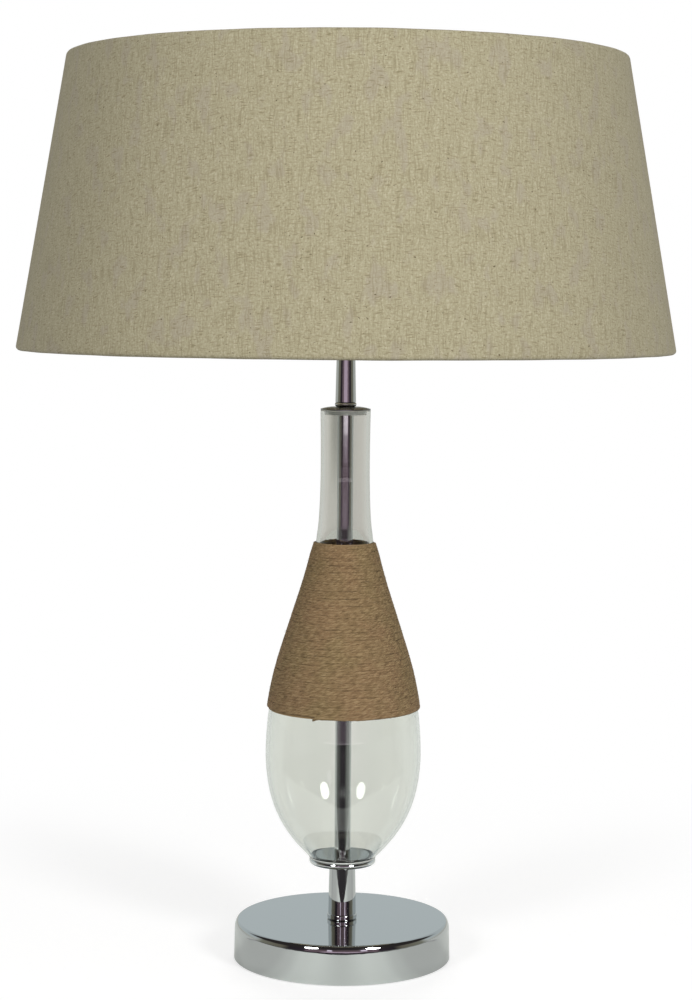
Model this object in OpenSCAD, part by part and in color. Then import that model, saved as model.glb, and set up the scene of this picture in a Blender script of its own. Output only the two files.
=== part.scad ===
/* [Base] */
// Width of the base cover at the floor
base_d = 151; // [140:1:165]
// Height of the base
base_h = 27; // [23:1:32]
// Sheet thickness of the base cover
base_wall = 1.2; // [0.8:0.1:1.6]
// Round on the upper edge of the base cover
base_edge_r = 5; // [2:0.5:5]
// How much narrower the base cover is at its top
base_draft = 1; // [0:0.5:2]
// Thickness of the soft pad under the base
pad_t = 2; // [1.5:0.5:3]
// Width of the hollow under the weight
recess_d = 66; // [60:1:80]
// Depth of the hollow under the weight
recess_h = 12; // [11.5:0.5:14]

/* [Column] */
// Width of the ring at the foot of the column
foot_ring_d = 20.6; // [20:0.1:24]
// Height of the ring at the foot of the column
foot_ring_h = 4; // [3:0.5:6]
// Width of the column at its foot
column_d = 19.4; // [18:0.1:20]
// Width of the column under the cup
column_top_d = 18; // [16:0.1:19]
// Height of the column
column_h = 35.4; // [30:0.1:50]
// Width over the bead of the cup
cup_d = 46.4; // [45:0.1:52]
// Height of the cup's bead, which is a half round
cup_bead_h = 4.4; // [4:0.1:6]
// Height of the cup's boss above the bead
cup_boss_h = 2.6; // [1.5:0.1:4]

/* [Glass] */
// Widest place of the glass
glass_d = 107.8; // [100:0.2:115]
// Height of the glass
glass_h = 311; // [290:1:330]
// Wall of the glass
glass_wall = 2.5; // [2:0.1:3]
// Thickness of each gasket at the glass
gasket_t = 0.8; // [0.5:0.1:1.2]
// Outer width of the tube inside the glass
centre_tube_d = 11.2; // [10.8:0.1:13]
// Rise of the domed disc that closes the neck
neck_cap_rise = 1.5; // [1.5:0.1:4]
// Edge thickness of the disc that closes the neck
neck_cap_edge = 0.6; // [0.6:0.1:1.5]

/* [Twine] */
// Lower edge of the twine, above the foot of the glass
wrap_low = 104.6; // [95:0.2:110]
// Height of the twine wrap
wrap_h = 115.6; // [100:0.2:125]
// Turns of the twine as modelled, each standing for three real ones
twine_turns = 24; // [12:1:24]
// Thickness of the twine over its backing
twine_t = 1; // [0.8:0.1:1.3]
// Thickness of the backing under the twine
backing_t = 0.3; // [0.2:0.1:0.4]
// Least gap between two turns of the twine
twine_gap = 0.6; // [0.5:0.1:1]

/* [Stem] */
// Width of the bead ring under the stem
stem_bead_d = 15; // [14.6:0.1:18]
// Height of the bead ring under the stem
stem_bead_h = 3.2; // [2:0.1:4]
// Width of the stem at its foot
stem_d = 14.2; // [13.4:0.1:14.6]
// Width of the stem at its top
stem_top_d = 12.2; // [11.6:0.1:13]
// Height of the stem
stem_h = 48.6; // [40:0.1:60]
// Outer width of the threaded tube
rod_d = 9.8; // [9.6:0.1:10]
// Bore of the threaded tube
rod_bore_d = 7.8; // [7.4:0.1:8]

/* [Lampholder] */
// Outer width of the lampholder's cap
holder_d = 38.4; // [38:0.1:40]
// Height of the lampholder's cap
holder_cap_h = 22; // [21:0.5:26]
// Width of the shoulder that carries the shade
shoulder_d = 45; // [44:0.5:48]
// Length of the lampholder's body with its shoulder
holder_body_h = 34; // [32:0.5:38]
// Bore of the lampholder's screw shell
shell_bore_d = 27; // [26.8:0.1:27.2]
// Length of the switch's push bar
switch_bar_l = 51; // [50:1:58]
// Travel of the switch's push bar
switch_travel = 6; // [4:0.5:7]

/* [Shade] */
// Width of the shade at its lower edge
shade_d = 450; // [430:1:480]
// Width of the shade at its upper edge
shade_top_d = 380; // [350:1:400]
// Height of the shade
shade_h = 199; // [180:1:215]
// How far the fitter lies above the shade's lower edge
fitter_rise = 40; // [30:0.2:50]
// Thickness of the shade's fabric
fabric_t = 0.7; // [0.5:0.1:1]
// Thickness of the stiff liner behind the fabric
liner_t = 0.5; // [0.3:0.1:0.8]
// Width of the wire in the shade's upper and lower rings
wire_d = 3.4; // [3:0.1:4]
// Width of the spokes' wire
spoke_d = 3.2; // [2.5:0.1:3.4]
// Number of spokes
spoke_count = 3; // [3:1:4]

/* [Bulb] */
// Width of the bulb's globe
bulb_d = 60; // [55:0.5:62]
// Length of the bulb with its cap
bulb_l = 106; // [100:1:112]

/* [Hidden] */
$fn = 96;

// Clearances: past every face of a cut, round a fixed piece, round a moving piece, round the rod
cut = 1;
seat_gap = 0.1;
move_gap = 0.3;
rod_gap = 0.2;

// Arc steps and rounds that several outlines share
arc_steps = 12;
small_round = 0.4;

// Radii of the rod, and of the holes that it goes through
rod_r = rod_d / 2;
rod_hole_r = rod_r + rod_gap;

// Heights of the stack, from the floor up
z_weight = pad_t;
z_cover = base_h;
z_column = z_cover + foot_ring_h;
z_cup = z_column + column_h;
z_shelf = z_cup + cup_bead_h;
z_boss = z_shelf + cup_boss_h;
z_glass = z_shelf + gasket_t;
z_neck = z_glass + glass_h;
z_neck_cap = z_neck + gasket_t;
z_bead = z_neck_cap + neck_cap_edge + neck_cap_rise;
z_stem = z_bead + stem_bead_h;
z_holder = z_stem + stem_h;
z_body = z_holder + holder_cap_h;
shoulder_rise = 2;
shoulder_t = 2.4;
z_shoulder = z_body + shoulder_rise + shoulder_t;
z_rim = z_body + holder_body_h;

// Cap of the lampholder
cap_wall = 1.5;
cap_boss_d = 17;
cap_boss_h = 11;
cap_dome_h = 13;
cap_step_h = 1.6;
cap_step_r = 1.4;

// Base cover
base_r = base_d / 2;
base_top_r = base_r - base_draft / 2;
cover_lift = 0.6;
base_edge_in_r = max(base_edge_r - base_wall, small_round);

// Weight and what sits in its hollow
weight_gap = 0.4;
washer_t = 1.5;
washer_d = 24;
nut_h = 4;
nut_af = 15;
rod_stub = 0.5;
z_recess = z_weight + recess_h;
z_washer = z_recess - washer_t;
z_nut = z_washer - nut_h;
z_rod = z_nut - rod_stub;
z_rod_top = z_holder + cap_boss_h + rod_stub;

// Cord gland in the back of the base
gland_bore_d = 6.5;
gland_d = 9;
gland_flange_d = 12.5;
gland_flange_t = 1.6;
gland_l = 9;
gland_z = z_weight + gland_d / 2 + 1.5 * base_wall;

// Terminal block and the wires
wire_od = 2.2;
wire_sides = 8;
wire_side = 1.5;
wire_bend = 3.5;
z_wire = z_rod - wire_od / 2 - move_gap - seat_gap;
block_w = 16;
block_t = 12;
block_front = 15;
block_bottom = z_weight + move_gap;
terminal_screw_d = 3;
block_screw_deep_share = 0.45;

// Column and cup
column_wall = 2;
cup_bead_r = cup_bead_h / 2;
cup_boss_d = 38;
cup_boss_edge = 0.6;

// Wires above the rod: they spread to the core's terminals in two arcs
spread_r = 5;
spread_angle = 50;
wire_top_in = 4;
wire_out = wire_side + 2 * spread_r * (1 - cos(spread_angle));
z_spread = z_rod_top + seat_gap;
z_spread_top = z_spread + 2 * spread_r * sin(spread_angle);

// Lampholder
core_h = 11;
core_r = holder_d / 2 - cap_wall - 2 * seat_gap;
core_body_r = core_r - cap_step_r;
z_core = z_body - cap_step_h;
z_core_top = z_core + core_h;
barrel_d = 38.8;
barrel_lip_t = 2;
shell_t = 0.5;
shell_r = shell_bore_d / 2;
lip_bore_r = shell_r + 0.6 * shell_t;
contact_w = 5;
contact_t = 0.6;
contact_l = 20;
contact_rise = 2.6;
contact_flat_share = 0.3;
grub_d = 3;
grub_z = z_holder + cap_boss_h / 3;
holder_screw_d = 3;
holder_screw_l = core_body_r - wire_out - wire_od / 2 - seat_gap;
holder_screw_z = z_body + holder_screw_d / 2 + small_round;

// Switch
switch_bar_d = 5;
switch_bar_y = 9.5;
switch_bar_drop = 5;
switch_bar_z = z_core - switch_bar_drop;
switch_bar_round = 1;
switch_block_w = 12;
switch_block_y = 8.4;
switch_block_h = z_core - z_body + holder_cap_h - cap_boss_h;

// Shade carrier
fitter_hole_d = 41;
fitter_d = 56;
fitter_t = 3;
shade_ring_d = 52.2;
shade_ring_h = 9;
shade_ring_rim_h = 1.8;
shade_ring_grips = 24;
shade_ring_grip_d = 2.2;
z_fitter = z_shoulder + move_gap;
z_shade_ring = z_fitter + fitter_t + move_gap;
fitter_out_r = fitter_d / 2;
z_shade = z_fitter - fitter_rise;
z_shade_top = z_shade + shade_h;
hem_tail = 8;
hem_angle = 50;
wire_r = wire_d / 2;

// Bulb
z_bulb = z_core_top + contact_t + contact_rise + move_gap;
tip_d = 9;
tip_h = 1.8;
insulator_h = 4;
bulb_cap_d = 26.2;
bulb_cap_h = 19;
bulb_cap_wall = 0.6;
bulb_thread_pitch = 3.62857;
bulb_thread_deep = 0.8;
globe_wall = 1;
bulb_r = bulb_d / 2;
z_insulator = z_bulb + tip_h;
z_bulb_cap = z_insulator + insulator_h;
z_globe = z_bulb_cap + bulb_cap_h;
globe_h = bulb_l - tip_h - insulator_h - bulb_cap_h;
globe_steps = 4;

// Outline of the glass from foot to neck: shares of its greatest radius and of its height
glass_shares = [
    [0.432, 0], [0.636, 0.0386], [0.809, 0.0836], [0.928, 0.135], [0.989, 0.193],
    [1, 0.252], [0.962, 0.334], [0.861, 0.424], [0.679, 0.527], [0.501, 0.624],
    [0.386, 0.701], [0.338, 0.752], [0.317, 0.83], [0.3145, 0.913], [0.321, 1]
];
glass_steps = 5;
glass_r = glass_d / 2;

// Outline of the bulb's globe over its neck: shares of its radius and of its height
globe_shares = [
    [0.42, 0], [0.46, 0.1], [0.62, 0.24], [0.88, 0.42], [0.995, 0.58], [0.97, 0.74],
    [0.78, 0.89], [0.4, 0.98], [0, 1]
];

// A point on the smooth curve through p1 and p2, with their neighbours p0 and p3, at t from 0 to 1
function curve_point(p0, p1, p2, p3, t) =
    (2 * p1 + (p2 - p0) * t + (2 * p0 - 5 * p1 + 4 * p2 - p3) * t * t
    + (3 * p1 - p0 - 3 * p2 + p3) * t * t * t) / 2;

// The smooth curve through all points, with a number of steps between each two
function curve(points, steps) = let (last = len(points) - 1) [
    for (i = [0:last - 1]) for (k = [0:steps - 1])
        curve_point(points[max(i - 1, 0)], points[i], points[i + 1],
            points[min(i + 2, last)], k / steps),
    points[last]
];

// Points of an arc about a centre, from one angle to another
function arc(centre, r, from, to, steps) = [
    for (k = [0:steps]) let (a = from + (to - from) * k / steps)
        centre + r * [cos(a), sin(a)]
];

// A list of points the other way round
function reversed(points) = [for (i = [len(points) - 1:-1:0]) points[i]];

function unit(v) = v / norm(v);

// The way an open line heads at one of its points, halfway between the stretches that meet there
function stretch(points, i) = unit(points[i + 1] - points[i]);
function heading(points, i) = let (last = len(points) - 1)
    unit(stretch(points, max(i - 1, 0)) + stretch(points, min(i, last - 1)));

// A line moved to its right, which makes the two faces of a band of even thickness
function moved(points, by) = [
    for (i = [0:len(points) - 1]) let (
        way = heading(points, i),
        bend = way * stretch(points, min(i, len(points) - 2))
    ) points[i] + by / bend * [way.y, -way.x]
];

// The outer face of the glass as radius and height, and its radius at a height over its foot
glass_line = [for (p = curve(glass_shares, glass_steps)) [p.x * glass_r, p.y * glass_h]];
function glass_r_at(h) = lookup(h, [for (p = glass_line) [p.y, p.x]]);

// The wall of the glass is measured square to its face, so its level thickness follows the slope
glass_bore_line = [for (i = [0:len(glass_line) - 1])
    [glass_line[i].x - glass_wall / heading(glass_line, i).y, glass_line[i].y]
];

// The outline between two heights of the glass, moved out by a distance
function glass_band(from, to, out, count) = [
    for (k = [0:count]) let (
        h = from + (to - from) * k / count,
        d = glass_h / 200,
        n = unit([2 * d, glass_r_at(h - d) - glass_r_at(h + d)])
    ) [glass_r_at(h), h] + out * n
];

// Slanted wall of the shade: a point at a distance down from an edge and in from the outer face
shade_r = shade_d / 2;
shade_top_r = shade_top_d / 2;
shade_slant = unit([shade_top_r - shade_r, shade_h]);
shade_in = [-shade_slant.y, shade_slant.x];
function at_foot(up, inward) = [shade_r, z_shade] + up * shade_slant + inward * shade_in;
function at_top(down, inward) = [shade_top_r, z_shade_top] - down * shade_slant + inward * shade_in;

// Half of the fabric's middle line at one edge: over the wire, then back down inside the liner
hem_centre = fabric_t + wire_r;
hem_line_r = wire_r + fabric_t / 2;
hem_back_in = fabric_t + liner_t + seat_gap + fabric_t / 2;
hem_arc = [for (k = [0:arc_steps]) let (a = (180 + hem_angle) * k / arc_steps)
    [hem_centre - hem_line_r * sin(a), hem_centre - hem_line_r * cos(a)]
];
hem_last = hem_arc[arc_steps];
hem_turn = hem_last.x + (hem_last.y - hem_back_in) / tan(hem_angle);
hem = concat(hem_arc, [[hem_turn, hem_back_in], [hem_turn + hem_tail, hem_back_in]]);
liner_from = hem_centre + wire_r + fabric_t;

// Turned body: an outline of radius and height points, turned about the upright axis
module turned(points) {
    rotate_extrude() polygon(points);
}

// Plain ring or washer standing on z
module ring(outer_r, inner_r, z, h) {
    translate([0, 0, z]) difference() {
        cylinder(r = outer_r, h = h);
        translate([0, 0, -cut]) cylinder(r = inner_r, h = h + 2 * cut);
    }
}

// Tube that may taper, turned from four corners
module taper_tube(foot_r, top_r, bore_r, z, h) {
    turned([[bore_r, z], [foot_r, z], [top_r, z + h], [bore_r, z + h]]);
}

module base_pad() {
    color("dimgray") cylinder(r = base_r - base_wall - weight_gap, h = pad_t);
}

module base_cover() {
    slope = (base_r - base_top_r) / z_cover;
    color("lightsteelblue") difference() {
        turned(concat(
            [[rod_hole_r, z_cover - base_wall], [rod_hole_r, z_cover]],
            arc([base_top_r - base_edge_r, z_cover - base_edge_r], base_edge_r, 90, 0, arc_steps),
            [[base_r - slope * cover_lift, cover_lift], [base_r - base_wall, cover_lift]],
            arc([base_top_r - base_wall - base_edge_in_r, z_cover - base_wall - base_edge_in_r],
                base_edge_in_r, 0, 90, arc_steps)
        ));
        translate([0, base_r - 2 * gland_l, gland_z]) rotate([-90, 0, 0])
            cylinder(d = gland_d + 2 * seat_gap, h = 4 * gland_l);
    }
}

module base_weight() {
    r = base_top_r - base_wall - weight_gap;
    color("darkslategray") difference() {
        turned([
            [rod_hole_r, z_weight], [r, z_weight], [r, z_cover - base_wall - base_edge_in_r],
            [r - base_edge_in_r, z_cover - base_wall], [rod_hole_r, z_cover - base_wall]
        ]);
        translate([0, 0, z_weight - cut]) cylinder(d = recess_d, h = recess_h + cut);
        translate([0, 0, gland_z]) rotate([-90, 0, 0])
            cylinder(d = gland_d + 2 * seat_gap, h = base_d);
    }
}

module base_washer() {
    color("silver") ring(washer_d / 2, rod_hole_r, z_washer, washer_t);
}

module base_nut() {
    color("silver") translate([0, 0, z_nut]) difference() {
        cylinder(d = nut_af / cos(30), h = nut_h, $fn = 6);
        translate([0, 0, -cut]) cylinder(r = rod_r, h = nut_h + 2 * cut);
    }
}

module cord_gland() {
    out = base_r + gland_flange_t;
    color("black") translate([0, out, gland_z]) rotate([90, 0, 0]) difference() {
        union() {
            cylinder(d = gland_flange_d, h = gland_flange_t);
            cylinder(d = gland_d, h = gland_l);
        }
        translate([0, 0, -cut]) cylinder(d = gland_bore_d, h = gland_l + 2 * cut);
    }
}

module terminal_block() {
    h = z_recess - block_bottom;
    color("ivory") difference() {
        translate([-block_w / 2, block_front, block_bottom]) cube([block_w, block_t, h]);
        for (x = [-wire_side, wire_side]) translate([x, block_front - cut, z_wire])
            rotate([-90, 0, 0]) cylinder(d = wire_od + 2 * seat_gap, h = block_t + 2 * cut);
        for (x = [-block_w / 4, block_w / 4])
            translate([x, block_front + block_t / 2, block_bottom - cut])
                cylinder(d = terminal_screw_d + 2 * seat_gap,
                    h = h * block_screw_deep_share + cut);
    }
}

module terminal_screws() {
    h = z_recess - block_bottom;
    color("gold") for (x = [-block_w / 4, block_w / 4])
        translate([x, block_front + block_t / 2, block_bottom])
            cylinder(d = terminal_screw_d, h = h * block_screw_deep_share);
}

// Route of one insulated wire: out of the block, round into the rod, up, and out to the core
function wire_route(x) = let (hand = sign(x)) concat(
    [[x, block_front + block_t / 3, z_wire]],
    [for (a = [0:15:90]) [x, wire_bend * (1 - sin(a)), z_wire + wire_bend * (1 - cos(a))]],
    [for (a = [0:10:spread_angle])
        [x + hand * spread_r * (1 - cos(a)), 0, z_spread + spread_r * sin(a)]],
    [for (a = [spread_angle - 10:-10:0])
        [hand * (wire_out - spread_r * (1 - cos(a))), 0, z_spread_top - spread_r * sin(a)]],
    [[hand * wire_out, 0, z_core + wire_top_in]]
);

// Closed round tube along a route of points that never runs straight along X
module swept_tube(points, r, sides) {
    last = len(points) - 1;
    rings = [for (i = [0:last]) let (
        along = unit(points[min(i + 1, last)] - points[max(i - 1, 0)]),
        n = unit(cross(along, [1, 0, 0])),
        m = cross(n, along)
    ) each [for (k = [0:sides - 1]) let (a = 360 * k / sides)
        points[i] + r * (cos(a) * n + sin(a) * m)]];
    faces = concat(
        [for (i = [0:last - 1]) for (k = [0:sides - 1]) let (j = (k + 1) % sides)
            [i * sides + k, (i + 1) * sides + j, (i + 1) * sides + k]],
        [for (i = [0:last - 1]) for (k = [0:sides - 1]) let (j = (k + 1) % sides)
            [i * sides + k, i * sides + j, (i + 1) * sides + j]],
        [[for (k = [sides - 1:-1:0]) k]],
        [[for (k = [0:sides - 1]) last * sides + k]]
    );
    polyhedron(rings, faces);
}

module wire(x) {
    swept_tube(wire_route(x), wire_od / 2, wire_sides);
}

module wire_live() {
    color("saddlebrown") wire(wire_side);
}

module wire_neutral() {
    color("royalblue") wire(-wire_side);
}

module threaded_tube() {
    color("gainsboro") ring(rod_r, rod_bore_d / 2, z_rod, z_rod_top - z_rod);
}

module foot_ring() {
    r = foot_ring_d / 2;
    round = foot_ring_h / 4;
    color("lightsteelblue") turned(concat(
        [[rod_hole_r, z_cover]],
        arc([r - round, z_cover + round], round, -90, 0, arc_steps),
        arc([r - round, z_column - round], round, 0, 90, arc_steps),
        [[rod_hole_r, z_column]]
    ));
}

module column() {
    color("lightsteelblue")
        taper_tube(column_d / 2, column_top_d / 2, column_top_d / 2 - column_wall, z_column, column_h);
}

module glass_cup() {
    bead_c = cup_d / 2 - cup_bead_r;
    boss = cup_boss_d / 2;
    color("lightsteelblue") turned(concat(
        [[rod_hole_r, z_cup]],
        arc([bead_c, z_cup + cup_bead_r], cup_bead_r, -90, 90, 2 * arc_steps),
        [[boss, z_shelf]],
        arc([boss - cup_boss_edge, z_boss - cup_boss_edge], cup_boss_edge, 0, 90, arc_steps),
        [[rod_hole_r, z_boss]]
    ));
}

// Flat ring between the cup's shelf and the foot of the glass
module lower_gasket() {
    color("whitesmoke") ring(glass_line[0].x - seat_gap, cup_boss_d / 2 + seat_gap, z_shelf, gasket_t);
}

module glass_body() {
    color("azure", 0.4) translate([0, 0, z_glass]) turned(concat(glass_line, reversed(glass_bore_line)));
}

module twine_backing() {
    rows = 30;
    color("peru") translate([0, 0, z_glass]) turned(concat(
        glass_band(wrap_low, wrap_low + wrap_h, seat_gap, rows),
        reversed(glass_band(wrap_low, wrap_low + wrap_h, seat_gap + backing_t, rows))
    ));
}

// Twine: one unbroken tube that climbs the glass by one pitch a turn. Its section is six-sided,
// as thick as the twine and as wide as the pitch leaves. A chord between two rings dips inwards,
// so the rings stand proud of the backing by that dip.
twine_rings = 24;
twine_pitch = wrap_h / (twine_turns + 1);
twine_w = twine_pitch - twine_gap;
twine_section_shares = [[-0.5, 0.5], [-0.34, 1], [0.34, 1], [0.5, 0.5], [0.34, 0], [-0.34, 0]];
twine_sides = len(twine_section_shares);
function twine_point(i, k) = let (
    angle = 360 * i / twine_rings,
    h = wrap_low + twine_pitch * (0.5 + i / twine_rings),
    d = twine_pitch / 2,
    along = unit([glass_r_at(h + d) - glass_r_at(h - d), 2 * d]),
    out = [along.y, -along.x],
    share = twine_section_shares[k],
    dip = glass_r_at(h) * (1 / cos(180 / twine_rings) - 1),
    stand = backing_t + 2 * seat_gap + dip,
    p = [glass_r_at(h), h] + share.x * twine_w * along + (stand + share.y * twine_t) * out
) [p.x * cos(angle), p.x * sin(angle), p.y];

twine_count = twine_turns * twine_rings;
twine_points = [for (i = [0:twine_count]) for (k = [0:twine_sides - 1]) twine_point(i, k)];
function twine_at(i, k) = i * twine_sides + k % twine_sides;
twine_faces = concat(
    [for (i = [0:twine_count - 1]) for (k = [0:twine_sides - 1])
        [twine_at(i, k), twine_at(i + 1, k + 1), twine_at(i + 1, k)]],
    [for (i = [0:twine_count - 1]) for (k = [0:twine_sides - 1])
        [twine_at(i, k), twine_at(i, k + 1), twine_at(i + 1, k + 1)]],
    [for (k = [1:twine_sides - 2]) [twine_at(0, 0), twine_at(0, k + 1), twine_at(0, k)]],
    [for (k = [1:twine_sides - 2]) [
        twine_at(twine_count, 0), twine_at(twine_count, k), twine_at(twine_count, k + 1)]]
);

// Least gap of the twine to itself: its upper edge against the lower edge one turn up
twine_gaps = [for (i = [0:twine_count - twine_rings])
    min([for (k = [1:3]) for (m = [0, 4, 5])
        norm(twine_point(i + twine_rings, m) - twine_point(i, k))])];
echo(least_gap_of_the_twine_to_itself_mm = min(twine_gaps));

module twine() {
    color("burlywood") translate([0, 0, z_glass]) polyhedron(twine_points, twine_faces);
}

// The disc over the neck has a short spigot that centres it in the bore of the glass
neck_r = glass_line[len(glass_line) - 1].x;
neck_bore_r = glass_bore_line[len(glass_line) - 1].x;
spigot_r = neck_bore_r - move_gap;
spigot_l = 2.5;
spigot_wall = 1.2;
z_spigot = z_neck - spigot_l;

module centre_tube() {
    color("lightsteelblue")
        ring(centre_tube_d / 2, rod_hole_r, z_boss, z_neck_cap - z_boss);
}

module upper_gasket() {
    color("whitesmoke") ring(neck_r - seat_gap, spigot_r + seat_gap, z_neck, gasket_t);
}

module neck_cap() {
    rise = neck_cap_rise;
    chord = neck_r - stem_bead_d / 2;
    dome_r = (chord * chord + rise * rise) / (2 * rise);
    dome_a = asin(chord / dome_r);
    z_edge = z_neck_cap + neck_cap_edge;
    color("lightsteelblue") turned(concat(
        [[rod_hole_r, z_neck_cap], [spigot_r - spigot_wall, z_neck_cap],
            [spigot_r - spigot_wall, z_spigot], [spigot_r, z_spigot],
            [spigot_r, z_neck_cap], [neck_r, z_neck_cap], [neck_r, z_edge]],
        arc([neck_r - chord, z_bead - dome_r], dome_r, 90 - dome_a, 90, arc_steps),
        [[rod_hole_r, z_bead]]
    ));
}

module stem_bead() {
    round = stem_bead_h / 2;
    color("lightsteelblue") turned(concat(
        [[rod_hole_r, z_bead]],
        arc([stem_bead_d / 2 - round, z_bead + round], round, -90, 90, arc_steps),
        [[rod_hole_r, z_stem]]
    ));
}

module stem() {
    color("lightsteelblue") taper_tube(stem_d / 2, stem_top_d / 2, rod_hole_r, z_stem, stem_h);
}

module holder_cap() {
    r = holder_d / 2;
    boss = cap_boss_d / 2;
    dome_z = z_holder + cap_dome_h;
    inner_r = core_body_r + seat_gap;
    color("whitesmoke") difference() {
        turned(concat(
            [[rod_r, z_holder], [boss, z_holder]],
            [for (a = [0:90 / arc_steps:90])
                [boss + (r - boss) * sin(a), dome_z - (cap_dome_h - cap_wall) * cos(a)]],
            [[r, z_body], [core_r + seat_gap, z_body], [core_r + seat_gap, z_core],
                [inner_r, z_core]],
            [for (a = [90:-90 / arc_steps:0])
                [boss + (inner_r - boss) * sin(a),
                    dome_z - (cap_dome_h - 3 * cap_wall) * cos(a)]],
            [[boss, z_holder + cap_boss_h], [rod_r, z_holder + cap_boss_h]]
        ));
        translate([-holder_d, switch_bar_y, switch_bar_z]) rotate([0, 90, 0])
            cylinder(d = switch_bar_d + 2 * move_gap, h = 2 * holder_d);
        translate([0, 0, grub_z]) rotate([90, 0, 0]) cylinder(d = grub_d, h = holder_d);
    }
}

module grub_screw() {
    l = (cap_boss_d - rod_d) / 2 - seat_gap;
    color("dimgray") translate([0, -rod_r - seat_gap, grub_z]) rotate([90, 0, 0])
        cylinder(d = grub_d, h = l);
}

module holder_core() {
    color("ivory") difference() {
        turned([
            [0, z_core], [core_r, z_core], [core_r, z_body], [core_body_r, z_body],
            [core_body_r, z_core_top], [0, z_core_top]
        ]);
        for (x = [-wire_out, wire_out]) translate([x, 0, z_core - cut])
            cylinder(d = wire_od + 2 * seat_gap, h = wire_top_in + cut + seat_gap);
        for (a = [0, 180]) rotate([0, 0, a])
            translate([core_body_r - holder_screw_l, 0, holder_screw_z]) rotate([0, 90, 0])
                cylinder(d = holder_screw_d + 2 * seat_gap, h = holder_d);
    }
}

module holder_screws() {
    color("gold") for (a = [0, 180]) rotate([0, 0, a])
        translate([core_body_r - holder_screw_l, 0, holder_screw_z]) rotate([0, 90, 0])
            cylinder(d = holder_screw_d, h = holder_screw_l - seat_gap);
}

module holder_body() {
    barrel = barrel_d / 2;
    inner = core_body_r + seat_gap;
    shoulder = shoulder_d / 2;
    z_low = z_body + shoulder_rise;
    color("whitesmoke") turned([
        [inner, z_body], [holder_d / 2, z_body], [holder_d / 2, z_low], [shoulder, z_low],
        [shoulder, z_shoulder], [barrel, z_shoulder], [barrel, z_rim - small_round],
        [barrel - small_round, z_rim], [lip_bore_r, z_rim], [lip_bore_r, z_rim - barrel_lip_t],
        [inner, z_rim - barrel_lip_t]
    ]);
}

module holder_shell() {
    color("gold") ring(shell_r + shell_t, shell_r, z_core_top, z_rim - barrel_lip_t - z_core_top);
}

// Spring strip: flat ends on the core, and a raised middle for the bulb's tip
module centre_contact() {
    half = contact_l / 2;
    flat = half * (1 - contact_flat_share);
    top = contact_l * contact_flat_share / 2;
    color("gold") translate([0, contact_w / 2, z_core_top]) rotate([90, 0, 0])
        linear_extrude(contact_w) polygon([
            [-half, 0], [-flat, 0], [-top, contact_rise], [top, contact_rise], [flat, 0],
            [half, 0], [half, contact_t], [flat - contact_t / 2, contact_t],
            [top - contact_t / 2, contact_rise + contact_t],
            [contact_t / 2 - top, contact_rise + contact_t],
            [contact_t / 2 - flat, contact_t], [-half, contact_t]
        ]);
}

module switch_block() {
    color("ivory") difference() {
        translate([-switch_block_w / 2, switch_bar_y - switch_block_y / 2, z_core - switch_block_h])
            cube([switch_block_w, switch_block_y, switch_block_h]);
        translate([-holder_d, switch_bar_y, switch_bar_z]) rotate([0, 90, 0])
            cylinder(d = switch_bar_d + 2 * move_gap, h = 2 * holder_d);
    }
}

// Push bar, drawn pushed to the left, its ends rounded
module switch_bar() {
    r = switch_bar_d / 2;
    e = switch_bar_round;
    color("ivory")
        translate([-(switch_bar_l + switch_travel) / 2, switch_bar_y, switch_bar_z])
            rotate([0, 90, 0]) turned(concat(
                [[0, 0]],
                arc([r - e, e], e, -90, 0, arc_steps),
                arc([r - e, switch_bar_l - e], e, 0, 90, arc_steps),
                [[0, switch_bar_l]]
            ));
}

module shade_ring() {
    r = shade_ring_d / 2;
    bore = barrel_d / 2 + move_gap + seat_gap;
    color("whitesmoke") difference() {
        turned([
            [bore, z_shade_ring], [r - small_round, z_shade_ring],
            [r, z_shade_ring + small_round], [r, z_shade_ring + shade_ring_h - small_round],
            [r - small_round, z_shade_ring + shade_ring_h], [bore, z_shade_ring + shade_ring_h]
        ]);
        for (i = [0:shade_ring_grips - 1]) rotate([0, 0, 360 * i / shade_ring_grips])
            translate([r + shade_ring_grip_d / 4, 0, z_shade_ring + shade_ring_rim_h])
                cylinder(d = shade_ring_grip_d, h = shade_ring_h, $fn = 24);
    }
}

// Flat ring with the hole that drops over the lampholder, its outer edges rounded
module fitter_ring() {
    out = fitter_out_r - small_round;
    top = z_fitter + fitter_t;
    color("white") turned(concat(
        [[fitter_hole_d / 2, z_fitter]],
        arc([out, z_fitter + small_round], small_round, -90, 0, arc_steps / 2),
        arc([out, top - small_round], small_round, 0, 90, arc_steps / 2),
        [[fitter_hole_d / 2, top]]
    ));
}

// Centres of the two wires that the fabric is rolled over
lower_wire = at_foot(hem_centre, hem_centre);
upper_wire = at_top(hem_centre, hem_centre);
wire_solid_r = wire_r - seat_gap / 2;

module wire_ring(centre) {
    rotate_extrude() translate(centre) circle(r = wire_solid_r);
}

// Straight spokes from the lower ring up to the fitter ring, cut to meet both face to face.
// The inside of the fabric's hem has a notch for each of them.
spoke_from = [fitter_out_r, z_fitter + fitter_t / 2];
spoke_run = lower_wire - spoke_from;
spoke_angle = atan2(spoke_run.y, spoke_run.x);

module spoke_rods(d, start) {
    for (i = [0:spoke_count - 1]) rotate([0, 0, 90 + 360 * i / spoke_count])
        translate([spoke_from.x, 0, spoke_from.y]) rotate([0, 90 - spoke_angle, 0])
            translate([0, 0, start]) cylinder(d = d, h = norm(spoke_run) - start);
}

module spokes() {
    color("white") difference() {
        spoke_rods(spoke_d, -spoke_d);
        translate([0, 0, z_fitter - fitter_t]) cylinder(r = fitter_out_r, h = 3 * fitter_t);
        wire_ring(lower_wire);
    }
}

module shade_lower_ring() {
    color("white") wire_ring(lower_wire);
}

module shade_upper_ring() {
    color("white") wire_ring(upper_wire);
}

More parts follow.
